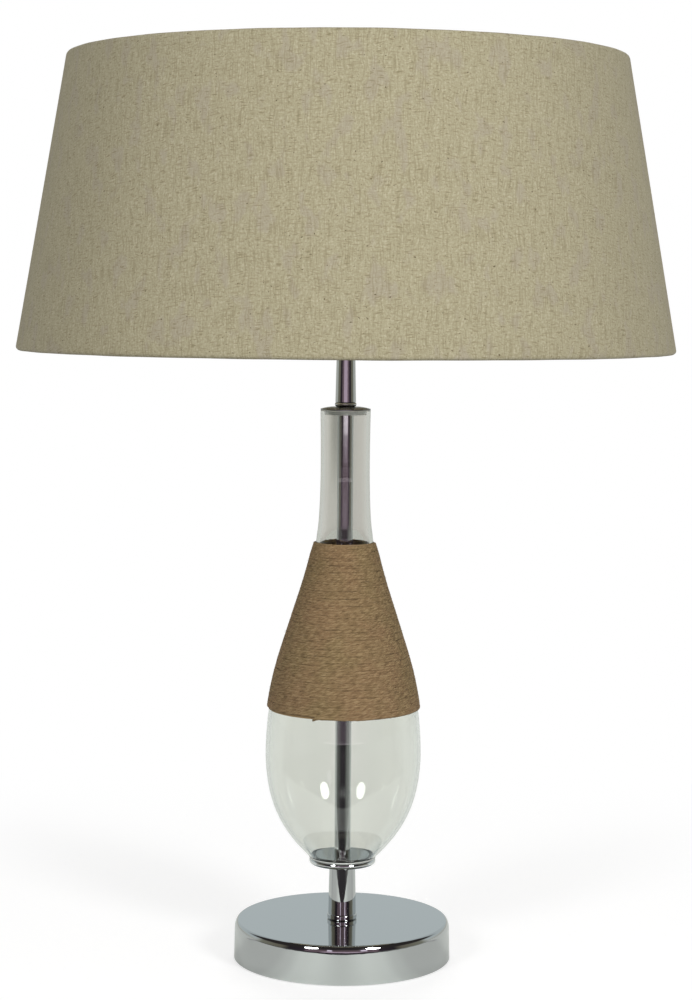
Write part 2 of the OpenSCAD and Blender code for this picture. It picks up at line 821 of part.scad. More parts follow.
// Fabric as one band: down inside, under the lower wire, up the wall, over the upper wire, down
module shade_fabric() {
    foot = [for (p = reversed(hem)) at_foot(p.x, p.y)];
    top = [for (p = hem) at_top(p.x, p.y)];
    line = concat(foot, top);
    color("tan") difference() {
        turned(concat(moved(line, fabric_t / 2), reversed(moved(line, -fabric_t / 2))));
        spoke_rods(spoke_d + 2 * move_gap, norm(spoke_run) / 2);
    }
}

module shade_liner() {
    out = fabric_t + seat_gap / 2;
    color("ivory") turned([
        at_foot(liner_from, out), at_foot(liner_from, out + liner_t),
        at_top(liner_from, out + liner_t), at_top(liner_from, out)
    ]);
}

module bulb_tip() {
    r = tip_d / 2;
    e = tip_h / 2;
    color("silver") turned(concat(
        [[0, z_bulb]],
        arc([r - e, z_bulb + e], e, -90, 0, arc_steps),
        [[r, z_insulator], [0, z_insulator]]
    ));
}

module bulb_insulator() {
    foot = tip_d / 2;
    top = bulb_cap_d / 2 - bulb_thread_deep;
    color("black") turned([
        [0, z_insulator], [foot, z_insulator], [top, z_bulb_cap], [0, z_bulb_cap]
    ]);
}

// Screw cap as a cup with rounded rings at the thread's pitch
module bulb_cap() {
    crest = bulb_cap_d / 2;
    root = crest - bulb_thread_deep;
    rings = floor((bulb_cap_h - bulb_thread_pitch / 2) / bulb_thread_pitch);
    steps = 6;
    color("silver") turned(concat(
        [[0, z_bulb_cap], [root, z_bulb_cap]],
        [for (i = [0:rings * steps]) [
            root + bulb_thread_deep * (1 - cos(360 * i / steps)) / 2,
            z_bulb_cap + bulb_thread_pitch * (0.25 + i / steps)
        ]],
        [[root, z_globe], [root - bulb_cap_wall, z_globe],
            [root - bulb_cap_wall, z_bulb_cap + bulb_cap_wall], [0, z_bulb_cap + bulb_cap_wall]]
    ));
}

module bulb_globe() {
    line = [for (p = curve(globe_shares, globe_steps))
        [max(p.x, 0) * bulb_r, z_globe + p.y * globe_h]];
    inner_share = 1 - globe_wall / bulb_r;
    inner_rise = globe_h * (1 - inner_share);
    color("white") turned(concat(
        line,
        [for (p = reversed(line)) [
            p.x * inner_share, z_globe + (p.y - z_globe) * (1 - inner_rise / globe_h)]]
    ));
}

base_pad();
base_cover();
base_weight();
base_washer();
base_nut();
cord_gland();
terminal_block();
terminal_screws();
wire_live();
wire_neutral();
threaded_tube();
foot_ring();
column();
glass_cup();
lower_gasket();
glass_body();
twine_backing();
twine();
centre_tube();
upper_gasket();
neck_cap();
stem_bead();
stem();
holder_cap();
grub_screw();
holder_core();
holder_screws();
holder_body();
holder_shell();
centre_contact();
switch_block();
switch_bar();
shade_ring();
fitter_ring();
spokes();
shade_lower_ring();
shade_upper_ring();
shade_fabric();
shade_liner();
bulb_globe();
bulb_cap();
bulb_insulator();
bulb_tip();
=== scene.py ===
"""Looks of a table lamp: glass column with a twine wrap, chromed base and stem, linen shade."""

import math

import bmesh
import bpy
import numpy as np
from mathutils import Matrix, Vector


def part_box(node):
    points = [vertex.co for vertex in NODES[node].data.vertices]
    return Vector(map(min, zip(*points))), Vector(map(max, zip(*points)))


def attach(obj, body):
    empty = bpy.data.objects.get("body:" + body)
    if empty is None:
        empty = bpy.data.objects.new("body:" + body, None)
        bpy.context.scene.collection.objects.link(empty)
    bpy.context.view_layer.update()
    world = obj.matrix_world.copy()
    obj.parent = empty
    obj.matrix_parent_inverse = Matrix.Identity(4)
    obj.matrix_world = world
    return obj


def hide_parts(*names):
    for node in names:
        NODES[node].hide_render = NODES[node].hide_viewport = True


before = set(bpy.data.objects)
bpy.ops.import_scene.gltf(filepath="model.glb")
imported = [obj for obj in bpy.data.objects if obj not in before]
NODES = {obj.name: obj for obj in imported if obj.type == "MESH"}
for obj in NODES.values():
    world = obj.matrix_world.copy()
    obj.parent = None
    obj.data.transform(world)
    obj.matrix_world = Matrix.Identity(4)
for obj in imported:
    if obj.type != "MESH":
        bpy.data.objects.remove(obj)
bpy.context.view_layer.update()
MM = 0.001
TURN = 2 * math.pi
SEED = 7
rng = np.random.default_rng(SEED)

# Ramps are given as Tree.ramp takes them: from, to, and where they aren't 0 and 1 the values there.

# Camera: the photograph's viewing angle
FOCAL_MM = 86.4
CAMERA_AT = (0.0007, -1.6505, 0.464)
CAMERA_DOWN_DEG = 4.953
CAMERA_ROLL_DEG = 0.42

# Lamps: azimuth and elevation as seen from the object, width, height, and the share of a colour
# as written that each gives to a surface that faces it. The world gives the rest. The lamp
# behind serves views from the back, and isn't seen in metal or glass.
LAMP_TARGET = (0, 0, 0.35)
LAMP_DISTANCE = 1.9
LAMPS = {
    "lamp_left": {"azimuth": -34, "elevation": 21, "size": (0.50, 0.58), "level": 0.315, "mirrored": True},
    "lamp_right": {"azimuth": 35, "elevation": 21, "size": (0.50, 0.58), "level": 0.485, "mirrored": True},
    "lamp_back": {"azimuth": 180, "elevation": 30, "size": (1.2, 1.2), "level": 0.34, "mirrored": False},
}
AMBIENT = 0.29

# Floor: its size, how far it lies under the object, its colour, what it adds for camera rays, rays
# through glass and mirrored rays, and where it turns all white
FLOOR_R = 3.0
FLOOR_SIDES = 96
FLOOR_GAP = 0.05 * MM
FLOOR_COLOUR = 0.5
FLOOR_LIFT = 0.62
FLOOR_IN_GLASS = (0.42, 0.425, 0.385)
FLOOR_TINT_IN_METAL = (0.97, 1.04, 0.96)
FLOOR_FADE = (0.26, 0.7)

# Mirrored rays find the floor dark past the table's edge. Its line is given by its distance in
# front, its slant and its bend to the sides, and it is round in the middle. It ends at a direction
# (0 is the camera's side, 1 behind). To the sides the dark is paler, and less so on the left.
TABLE_EDGE = (-0.160, -0.63, 2.14)
EDGE_MIDDLE_R = 0.03
EDGE_SOFT = 0.006
EDGE_ENDS = (0.50, 0.58)
PAST_EDGE = (0.045, 0.04, 0.045)
BESIDE_PAST_EDGE = (0.34, 0.35, 0.33)
BESIDE_FROM = (0.10, 0.42)
LEFT_TO_RIGHT = (-0.03, 0.03, 0.4, 1)

# What the floor adds in metal, by the direction from the object: 0 at the camera's side, 1 behind.
# A dark seam runs out sideways from a distance on.
FLOOR_IN_METAL = [
    (0.0, 0.45), (0.10, 0.56), (0.17, 0.50), (0.24, 0.33), (0.30, 0.235), (0.50, 0.225), (0.58, 0.32),
    (1.0, 0.42),
]
SEAM_FROM = 0.16
SEAM_AT = (0.515, 0.545)
SEAM_EDGE = 0.01


def add(obj):
    """Links an object into the scene."""
    bpy.context.scene.collection.objects.link(obj)
    return obj


def make_camera():
    """The camera stands where the photograph was taken from."""
    data = bpy.data.cameras.new("camera")
    data.lens = FOCAL_MM
    data.clip_end = 50
    camera = add(bpy.data.objects.new("camera", data))
    tilt = Matrix.Rotation(math.radians(90 - CAMERA_DOWN_DEG), 4, "X")
    roll = Matrix.Rotation(math.radians(CAMERA_ROLL_DEG), 4, "Z")
    camera.matrix_world = Matrix.Translation(CAMERA_AT) @ tilt @ roll
    bpy.context.scene.camera = camera


def srgb(red, green, blue):
    """A colour as read from a picture, 0 to 255, as the linear colour that a shader takes."""
    values = [c / 255 for c in (red, green, blue)]
    return tuple(c / 12.92 if c <= 0.04045 else ((c + 0.055) / 1.055) ** 2.4 for c in values)


class Tree:
    """A node tree with short ways to add nodes and join their sockets."""

    def __init__(self, owner):
        owner.use_nodes = True
        self.tree = owner.node_tree

    def put(self, socket, value):
        """Sets an input to a value, or joins it to the output of another node."""
        if isinstance(value, bpy.types.NodeSocket):
            self.tree.links.new(value, socket)
        elif socket.type == "RGBA":
            socket.default_value = (*value[:3], 1)
        else:
            socket.default_value = value

    def node(self, kind, *inputs, **settings):
        """A new node with its first inputs in order and its settings by name."""
        made = self.tree.nodes.new(kind)
        for name, value in settings.items():
            setattr(made, name, value)
        for socket, value in zip(made.inputs, inputs):
            self.put(socket, value)
        return made

    def math(self, operation, a, b=0.0):
        return self.node("ShaderNodeMath", a, b, operation=operation).outputs[0]

    def times(self, a, b):
        return self.math("MULTIPLY", a, b)

    def plus(self, a, b):
        return self.math("ADD", a, b)

    def ramp(self, value, low, high, to_low=0.0, to_high=1.0):
        """Smooth step from to_low at low to to_high at high."""
        return self.node(
            "ShaderNodeMapRange", value, low, high, to_low, to_high, interpolation_type="SMOOTHSTEP"
        ).outputs[0]

    def mix(self, factor, a, b):
        """Colour a where the factor is 0 and b where it is 1."""
        made = self.node("ShaderNodeMix", factor, data_type="RGBA")
        self.put(made.inputs[6], a)
        self.put(made.inputs[7], b)
        return made.outputs[2]

    def colours(self, value, stops, smooth=True):
        """Colour ramp through (place, colour) stops."""
        made = self.node("ShaderNodeValToRGB", value)
        made.color_ramp.interpolation = "EASE" if smooth else "LINEAR"
        elements = made.color_ramp.elements
        while len(elements) < len(stops):
            elements.new(0.5)
        for element, (place, colour) in zip(elements, stops):
            element.position = place
            element.color = (*colour, 1)
        return made.outputs[0]

    def scaled(self, vector, scale):
        """A vector times a scale: one number, or one for each axis."""
        each = scale if isinstance(scale, tuple) else (scale,) * 3
        return self.node("ShaderNodeVectorMath", vector, each, operation="MULTIPLY").outputs[0]

    def shifted(self, vector, by):
        return self.node("ShaderNodeVectorMath", vector, by, operation="ADD").outputs[0]

    def noise(self, vector, detail=2.0, flat=False):
        """Noise with one grain to each unit of the vector, from 0 to 1."""
        made = self.node("ShaderNodeTexNoise", vector, noise_dimensions="2D" if flat else "3D")
        made.inputs["Scale"].default_value = 1
        made.inputs["Detail"].default_value = detail
        return made.outputs[0]

    def place(self):
        """Place on the object in its own axes, in metres."""
        return self.node("ShaderNodeTexCoord").outputs["Object"]

    def uv(self, name):
        """Place in a UV map."""
        return self.node("ShaderNodeUVMap", uv_map=name).outputs[0]

    def axes(self, vector):
        """The three parts of a vector."""
        return self.node("ShaderNodeSeparateXYZ", vector).outputs

    def pair(self, across, along):
        """A vector from two values."""
        return self.node("ShaderNodeCombineXYZ", across, along).outputs[0]

    def glow(self, colour):
        """Light of a colour at strength 1."""
        return self.node("ShaderNodeEmission", colour, 1.0).outputs[0]

    def cover(self, share, under, over):
        """One shader over another, by a share."""
        return self.node("ShaderNodeMixShader", share, under, over).outputs[0]

    def bump(self, height, depth, strength=1.0):
        """Normal for a relief of a depth in metres."""
        made = self.node("ShaderNodeBump", strength, depth)
        self.put(made.inputs["Height"], height)
        return made.outputs[0]


def principled(name, colour, roughness, **constants):
    """A Principled material: its tree, its shader and itself. Constants name sockets."""
    material = bpy.data.materials.new(name)
    tree = Tree(material)
    shader = tree.tree.nodes["Principled BSDF"]
    tree.put(shader.inputs["Base Color"], colour)
    tree.put(shader.inputs["Roughness"], roughness)
    for socket, value in constants.items():
        tree.put(shader.inputs[socket.replace("_", " ")], value)
    return material, tree, shader


# Clouds in plain stuff: their count to a grain, and where their gloss begins and stops to change
CLOUDS_TO_GRAIN = 0.08
CLOUD_FROM, CLOUD_TO = 0.3, 0.7


def speckled(name, colour, roughness, grain, contrast=0.06, depth=0.02, uneven=0.06, **constants):
    """Plain stuff with a grain in metres and a relief in millimetres: its tone changes by a share
    of itself, and its gloss by a part of the roughness scale."""
    material, t, shader = principled(name, colour, roughness, **constants)
    fine = t.noise(t.scaled(t.place(), 1 / grain), 3)
    broad = t.noise(t.scaled(t.place(), CLOUDS_TO_GRAIN / grain), 2)
    dark = tuple(c * (1 - contrast) for c in colour)
    light = tuple(min(c * (1 + contrast), 1) for c in colour)
    t.put(shader.inputs["Base Color"], t.mix(broad, dark, light))
    gloss = t.ramp(broad, CLOUD_FROM, CLOUD_TO, roughness - uneven, roughness + uneven)
    t.put(shader.inputs["Roughness"], gloss)
    t.put(shader.inputs["Normal"], t.bump(fine, depth * MM))
    return material


# Plating: its colour and roughness, grains to a metre of its smears, dust and waves, the ramps by
# which smears and dust roughen it, and the depth of the waves
CHROME_COLOUR = (0.56, 0.575, 0.575)
CHROME_ROUGHNESS = 0.04
SMEARS = (45, 45, 30)
DUST = 900
CHROME_WAVES = 55
SMEAR_ROUGHNESS = (0.35, 0.75, 0.03, 0.08)
DUST_ROUGHNESS = (0.72, 0.8, 0, 0.12)
CHROME_WAVE_DEPTH = 0.004 * MM

# Plating whose tone steps at a height, which paints light and shade: on the cup a brighter bead below
# and a darker, duller boss top above, on the cap a painted light spigot below and a painted dark dome
# above. That height, then tone, roughness and metal below and above it. The step itself is this high.
PAINTED_TONE_STEP = 0.2 * MM
CUP_PAINTED_TONES = (72.8 * MM, (1.35, 0.04, 1), (0.95, 0.26, 1))
CAP_PAINTED_TONES = (383.3 * MM, (1.65, 0.5, 0), (0.34, 0.12, 1))


def chrome(name="chrome", step=None):
    """Bright plating: nearly a mirror, with faint smears that dull it in places. A step paints it
    lighter below a height and darker above it, as painted light and shade.
    """
    material, t, shader = principled(name, CHROME_COLOUR, CHROME_ROUGHNESS, Metallic=1.0)
    smears = t.noise(t.scaled(t.place(), SMEARS), 4)
    dust = t.noise(t.scaled(t.place(), DUST), 1)
    rough = t.plus(t.ramp(smears, *SMEAR_ROUGHNESS), t.ramp(dust, *DUST_ROUGHNESS))
    if step:
        # The step paints light and shade: the tone below and above the height
        height, (low_painted_tone, low_rough, low_metal), (top_painted_tone, top_rough, top_metal) = step
        above = t.ramp(t.axes(t.place())[2], height - PAINTED_TONE_STEP, height)
        low, top = (tuple(c * tone for c in CHROME_COLOUR) for tone in (low_painted_tone, top_painted_tone))
        t.put(shader.inputs["Base Color"], t.mix(above, low, top))
        t.put(shader.inputs["Metallic"], t.ramp(above, 0, 1, low_metal, top_metal))
        rough = t.math("MAXIMUM", rough, t.ramp(above, 0, 1, low_rough, top_rough))
    t.put(shader.inputs["Roughness"], rough)
    waves = t.noise(t.scaled(t.place(), CHROME_WAVES), 1)
    t.put(shader.inputs["Normal"], t.bump(waves, CHROME_WAVE_DEPTH))
    return material


# Glass: its tones, grains to a metre of the waves in its wall, and their depth. On the neck, painted
# shade darkens a band down its left and painted light brightens its sides with streaks, and their
# ramps run over the height and across it, in metres.
GLASS_TONES = ((0.925, 0.94, 0.912), (0.94, 0.952, 0.934))
GLASS_PAINTED_SHADE = (0.745, 0.76, 0.735)
GLASS_PAINTED_LIGHT = (0.975, 0.977, 0.967)
GLASS_WAVES = (38, 38, 14)
GLASS_WAVE_DEPTH = 0.008 * MM
NECK_RISE = (0.285, 0.305)
PAINTED_SHADE_RISE = (0.312, 0.375)
PAINTED_SHADE_LEFT, PAINTED_SHADE_RIGHT = (-0.0125, -0.0075), (-0.004, 0, 1, 0)
PAINTED_LIGHT_LEFT, PAINTED_LIGHT_RIGHT = (-0.014, -0.010, 0.9, 0), (0.003, 0.010, 0, 0.7)
STREAKS = (700, 0, 12)
STREAK_SHARE = (0.3, 0.7, 0.7, 1.1)


def glass():
    """Clear blown glass with a faint grey-green cast and a slightly uneven wall. On the neck, painted
    shade darkens a band down its left and painted light brightens its sides, where fine streaks run down
    it."""
    material, t, shader = principled("glass", GLASS_TONES[0], 0.0, Transmission_Weight=1.0, IOR=1.5)
    waves = t.noise(t.scaled(t.place(), GLASS_WAVES), 1)
    t.put(shader.inputs["Normal"], t.bump(waves, GLASS_WAVE_DEPTH))
    x, _, z = t.axes(t.place())
    streaks = t.noise(t.scaled(t.place(), STREAKS), 1)
    # Painted light: the neck is made paler at its sides, in fine streaks
    pale = t.plus(t.ramp(x, *PAINTED_LIGHT_RIGHT), t.ramp(x, *PAINTED_LIGHT_LEFT))
    pale = t.times(t.ramp(z, *NECK_RISE), t.times(pale, t.ramp(streaks, *STREAK_SHARE)))
    # Painted shade: a darker band down the neck's left, a painted reflection of the dark room in front
    band = t.times(t.ramp(x, *PAINTED_SHADE_LEFT), t.ramp(x, *PAINTED_SHADE_RIGHT))
    band = t.times(t.ramp(z, *PAINTED_SHADE_RISE), band)
    colour = t.mix(waves, *GLASS_TONES)
    colour = t.mix(pale, colour, GLASS_PAINTED_LIGHT)
    t.put(shader.inputs["Base Color"], t.mix(band, colour, GLASS_PAINTED_SHADE))
    return material


# Linen: a thread's width and the cloth's colours
THREAD = 0.5 * MM
LINEN = {
    "dark": srgb(155, 146, 117), "mid": srgb(171, 163, 134), "light": srgb(188, 181, 153),
    "slub": srgb(137, 127, 96), "grey": srgb(167, 157, 141), "fleck": srgb(100, 88, 60),
}

# Its noises: width and length of a grain in threads, and whether it runs up the wall. Warp, weft
# and grain have shares in the tone, whose stops follow. A slub has the level at which it sets in
# and its strength too, over a rise that is the same for all.
WARP, WEFT = (1.6, 22, True), (1.6, 9, False)
GRAIN = (2.4, 3, True)
THREAD_SHARE, GRAIN_SHARE = 0.25, 0.5
TONE_STOPS = (0.34, 0.5, 0.66)
SLUBS = [(1.7, 34, True, 0.62, 0.4), (1.5, 12, False, 0.70, 0.8), (2.4, 3.4, False, 0.74, 0.75)]
SLUB_RISE = 0.14
FLECK = (3.6, 5.2, False)
FLECK_RAMP = (0.765, 0.80, 0, 0.9)

# Grey patches and bends of the threads, in grains to a metre, and how far a thread bends. Then the
# weave's share in the relief, its depth, and how strongly it is taken.
PATCHES = (75, 42, 0)
PATCH_RAMP = (0.54, 0.68, 0, 0.45)
BENDS = (60, 60, 0)
BEND_BY = 4 * MM
WEAVE_SHARE = 0.25
LINEN_RELIEF = 0.2 * MM
LINEN_RELIEF_SHARE = 0.7


def linen():
    """Oatmeal linen in plain weave: uneven threads both ways, slubs, grey patches, dark flecks."""
    material, t, shader = principled(
        "linen", LINEN["mid"], 0.92, Specular_IOR_Level=0.25, Sheen_Weight=0.12, Sheen_Roughness=0.6
    )
    flat = t.uv("cloth")
    bend = t.noise(t.scaled(flat, BENDS), 1, flat=True)
    flat = t.shifted(flat, t.scaled(t.pair(bend, bend), BEND_BY))

    def threads(width, length, warp, detail=2.0):
        """Noise drawn out along the warp or the weft, sized in threads."""
        wide, long = 1 / (width * THREAD), 1 / (length * THREAD)
        return t.noise(t.scaled(flat, (wide, long, 0) if warp else (long, wide, 0)), detail, flat=True)

    crossed = t.times(t.plus(threads(*WARP), threads(*WEFT)), THREAD_SHARE)
    both = t.plus(crossed, t.times(threads(*GRAIN, 3), GRAIN_SHARE))
    colour = t.colours(both, list(zip(TONE_STOPS, (LINEN["dark"], LINEN["mid"], LINEN["light"]))))
    patch = t.noise(t.scaled(flat, PATCHES), 2, flat=True)
    colour = t.mix(t.ramp(patch, *PATCH_RAMP), colour, LINEN["grey"])
    for width, length, up, least, share in SLUBS:
        slub = threads(width, length, up, 0)
        colour = t.mix(t.ramp(slub, least, least + SLUB_RISE, 0, share), colour, LINEN["slub"])
    colour = t.mix(t.ramp(threads(*FLECK, 1.5), *FLECK_RAMP), colour, LINEN["fleck"])
    t.put(shader.inputs["Base Color"], colour)

    across, along, _ = t.axes(flat)
    rate = TURN / (2 * THREAD)
    weave = t.times(t.math("SINE", t.times(across, rate)), t.math("SINE", t.times(along, rate)))
    relief = t.plus(t.times(weave, WEAVE_SHARE), both)
    t.put(shader.inputs["Normal"], t.bump(relief, LINEN_RELIEF, LINEN_RELIEF_SHARE))
    return material


# Jute: its colours, and the length in which the twine turns once round itself
JUTE = {
    "dark": srgb(110, 89, 63), "mid": srgb(142, 118, 85), "light": srgb(172, 148, 111),
    "olive": srgb(134, 117, 80), "russet": srgb(147, 117, 87),
}
TWINE_TWIST = 9.4 * MM

# Tones that follow the twist: how many round the strand, how long each, and detail, then their
# shares in the tone, whose stops follow. The hue changes in batches, in grains to a metre, and has
# stops and a share too.
PLY, FIBRE = (2.6, 8 * MM, 1), (9, 5 * MM, 2)
PLY_SHARE, FIBRE_SHARE = 0.55, 0.45
STRAND_STOPS = (0.3, 0.5, 0.7)
BATCHES = 38
HUE_STOPS = (0.38, 0.5, 0.62)
BATCH_SHARE = 0.4

# Short slanted dashes, light and dark: length, height, rise to a length, and the ramps of both
# tones. The wrap's mean radius turns an angle into a length. Then the fibres' share in the relief
# and its depth.
DASH_LONG, DASH_HIGH = 4.2 * MM, 0.95 * MM
DASH_SLANT = 0.22
WRAP_R = 40 * MM
LIGHT_DASH, DARK_DASH = (0.54, 0.72, 0, 0.5), (0.30, 0.46, 0.5, 0)
FIBRE_RELIEF_SHARE = 0.5
JUTE_RELIEF = 0.07 * MM


def jute():
    """Twisted jute: tone changes from strand to strand, fine fibres follow the twist."""
    material, t, shader = principled(
        "jute", JUTE["mid"], 0.9, Specular_IOR_Level=0.2, Sheen_Weight=0.05, Sheen_Roughness=0.5
    )
    run, around, _ = t.axes(t.uv("strand"))
    twisted = t.math("SUBTRACT", around, t.times(run, 1 / TWINE_TWIST))

    def tones(per_turn, length, detail):
        """Noise that follows the twist: so many tones round the strand, so long each."""
        return t.noise(t.pair(t.times(twisted, per_turn), t.times(run, 1 / length)), detail, flat=True)

    ply, fibre = tones(*PLY), tones(*FIBRE)
    tone = t.plus(t.times(ply, PLY_SHARE), t.times(fibre, FIBRE_SHARE))
    colour = t.colours(tone, list(zip(STRAND_STOPS, (JUTE["dark"], JUTE["mid"], JUTE["light"]))))
    batch = t.noise(t.scaled(t.place(), BATCHES), 2)
    hue = t.colours(batch, list(zip(HUE_STOPS, (JUTE["olive"], JUTE["mid"], JUTE["russet"]))))
    colour = t.mix(BATCH_SHARE, colour, hue)
    x, y, z = t.axes(t.place())
    girth = t.times(t.math("ARCTAN2", y, x), WRAP_R)
    slant = t.math("SUBTRACT", z, t.times(girth, DASH_SLANT))
    dash = t.noise(t.pair(t.times(girth, 1 / DASH_LONG), t.times(slant, 1 / DASH_HIGH)), 1, flat=True)
    colour = t.mix(t.ramp(dash, *LIGHT_DASH), colour, JUTE["light"])
    colour = t.mix(t.ramp(dash, *DARK_DASH), colour, JUTE["dark"])
    t.put(shader.inputs["Base Color"], colour)
    relief = t.plus(t.times(fibre, FIBRE_RELIEF_SHARE), dash)
    t.put(shader.inputs["Normal"], t.bump(relief, JUTE_RELIEF))
    return material


def finishes():
    """The material for each of the record's slots. Plain stuff has colour, roughness, grain and, where
    they differ from the usual, contrast, relief and unevenness."""
    return {
        "chrome": chrome(),
        "zinc_steel": speckled("zinc_steel", (0.5, 0.5, 0.49), 0.34, 2 * MM, Metallic=1.0),
        "iron": speckled("iron", srgb(70, 72, 74), 0.6, 1.2 * MM, 0.2, 0.15),
        "pad": speckled("pad", srgb(52, 52, 54), 0.95, 0.6 * MM, 0.2, 0.1, 0.04),
        "brass": speckled("brass", (0.78, 0.57, 0.27), 0.3, 1.5 * MM, Metallic=1.0),
        "glass": glass(),
        "gasket": speckled("gasket", srgb(225, 228, 222), 0.4, 1 * MM),
        "twine": jute(),
        "twine_backing": speckled("twine_backing", srgb(150, 124, 86), 0.8, 1 * MM, 0.2, 0.1),
        "white_plastic": speckled("white_plastic", srgb(238, 236, 229), 0.32, 1 * MM, 0.02, 0.01),
        "black_plastic": speckled("black_plastic", srgb(30, 30, 31), 0.42, 1 * MM, 0.15, 0.02),
        "ceramic": speckled("ceramic", srgb(234, 229, 214), 0.5, 1.5 * MM, 0.04, 0.03),
        "linen": linen(),
        "liner": speckled("liner", srgb(217, 208, 181), 0.45, 3 * MM, 0.03, 0.01),
        "white_metal": speckled("white_metal", srgb(235, 234, 229), 0.38, 1.2 * MM, 0.02, 0.03),
        "opal_glass": speckled("opal_glass", srgb(244, 243, 238), 0.18, 4 * MM, 0.01, 0.004, 0.04,
                               Coat_Weight=0.5, Coat_Roughness=0.05),
        "cap_metal": speckled("cap_metal", (0.72, 0.72, 0.7), 0.3, 1.5 * MM, Metallic=1.0),
        "wire_brown": speckled("wire_brown", srgb(96, 54, 30), 0.5, 1 * MM, 0.1),
        "wire_blue": speckled("wire_blue", srgb(34, 84, 168), 0.5, 1 * MM, 0.1),
    }


FINISHES = finishes()
# Painted light and shade: the cup's bead painted bright and its boss top darker, the cap's spigot painted
# light and its dome dark
CUP_PAINTED_CHROME = chrome("chrome_cup_painted_tones", CUP_PAINTED_TONES)
CAP_PAINTED_CHROME = chrome("chrome_cap_painted_tones", CAP_PAINTED_TONES)


def dress_cad_nodes():
    """Gives every CAD node the finish of its slot."""
    for node in NODES.values():
        for held in node.material_slots:
            held.material = FINISHES[held.material.name.split(".")[0]]


def mesh_piece(name, points, faces, slot, maps=None):
    """A smooth mesh in the finish of a slot. maps holds a UV for each point, by map name."""
    mesh = bpy.data.meshes.new(name)
    mesh.from_pydata(points, [], faces)
    corners = np.zeros(len(mesh.loops), np.int32)
    mesh.loops.foreach_get("vertex_index", corners)
    for map_name, values in (maps or {}).items():
        layer = mesh.uv_layers.new(name=map_name)
        layer.uv.foreach_set("vector", np.asarray(values, np.float32)[corners].ravel())
    mesh.shade_smooth()
    mesh.materials.append(FINISHES[slot])
    piece = add(bpy.data.objects.new(name, mesh))
    return piece


def ring_faces(rows, columns, close_rows):
    """Quads of a grid whose columns close into a ring, and whose rows may close too."""
    faces = []
    for i in range(rows if close_rows else rows - 1):
        below, above = i * columns, (i + 1) % rows * columns
        for k in range(columns):
            n = (k + 1) % columns
            faces.append((below + k, below + n, above + n, above + k))
    return faces


# Columns of turned pieces, and the angle from which their edges stay sharp
COLUMNS = 192
TURNED_SHARP_DEG = 40


def spun(line):
    """The points of a line of (radius, height) turned about the axis, ring by ring."""
    angle = np.arange(COLUMNS) * TURN / COLUMNS
    return [(r * c, r * s, z) for r, z in line for c, s in zip(np.cos(angle), np.sin(angle))]


def sharpened(piece, degrees):
    """Keeps the edges of a smooth piece sharp where they turn by more than an angle."""
    piece.data.set_sharp_from_angle(angle=math.radians(degrees))


def turned(name, outline, slot):
    """A piece turned from a closed outline of (radius, height) points."""
    piece = mesh_piece(name, spun(outline), ring_faces(len(outline), COLUMNS, True), slot)
    sharpened(piece, TURNED_SHARP_DEG)
    return piece


def smooth_line(points, steps):
    """The smooth curve through all points, with a number of steps between each two."""
    p = np.asarray(points, float)
    p = np.vstack([p[0], p, p[-1]])
    made = []
    for i in range(1, len(p) - 2):
        for t in np.arange(steps) / steps:
            made.append(0.5 * (
                2 * p[i] + (p[i + 1] - p[i - 1]) * t
                + (2 * p[i - 1] - 5 * p[i] + 4 * p[i + 1] - p[i + 2]) * t * t
                + (3 * p[i] - p[i - 1] - 3 * p[i + 1] + p[i + 2]) * t**3
            ))
    return np.array(made + [p[-1]])


# Points of an outline stand further apart in height than this
LEVEL_STEP = 0.5 * MM


def outline_of(node, side):
    """Outer (side 1) or inner (side -1) outline of a turned CAD node: (radius, height) points
    from its foot up, of the faces that look that way."""
    mesh = NODES[node].data
    spots = set()
    for face in mesh.polygons:
        if side * (face.normal.x * face.center.x + face.normal.y * face.center.y) > 0:
            for place in (mesh.vertices[i].co for i in face.vertices):
                spots.add((round(place.z, 5), round(math.hypot(place.x, place.y), 5)))
    line = [max(spots)]
    for height, radius in sorted(spots, reverse=True):
        if line[-1][0] - height > LEVEL_STEP:
            line.append((height, radius))
    return np.array(line[::-1])[:, ::-1]


# The bend at the top of the wrap is a little tighter than in the CAD model: place, reach, depth
BEND_AT = 290.5 * MM
BEND_REACH = 8 * MM
BEND_DEPTH = 0.5 * MM


def tightened(line):
    """An outline of the glass with the bend under the wrap's upper edge drawn in."""
    share = np.clip((line[:, 1] - BEND_AT) / BEND_REACH, -1, 1)
    drawn = line.copy()
    drawn[:, 0] -= BEND_DEPTH * np.cos(share * math.pi / 2) ** 2
    return drawn


GLASS_LINE = tightened(outline_of("glass_body", 1))


def glass_r(z):
    """Outer radius of the glass at a height."""
    return np.interp(z, GLASS_LINE[:, 1], GLASS_LINE[:, 0])


def make_shell(node, name, slot):
    """The glass, or the band glued round it: even curves between the points of its outlines."""
    outside, inside = (smooth_line(tightened(outline_of(node, side)), 2) for side in (1, -1))
    piece = turned(name, [*outside, *inside[::-1]], slot)
    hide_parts(node)
    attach(piece, "stand")


# The upper edge of the base is a tall oval in place of the CAD model's round: the round's radius,
# how far in and down the oval reaches, and how near the round a point lies as a share of its radius
CAD_EDGE_R = 5 * MM
RIM_IN = 2.8 * MM
RIM_DOWN = 5.8 * MM
RIM_SLACK = 0.02


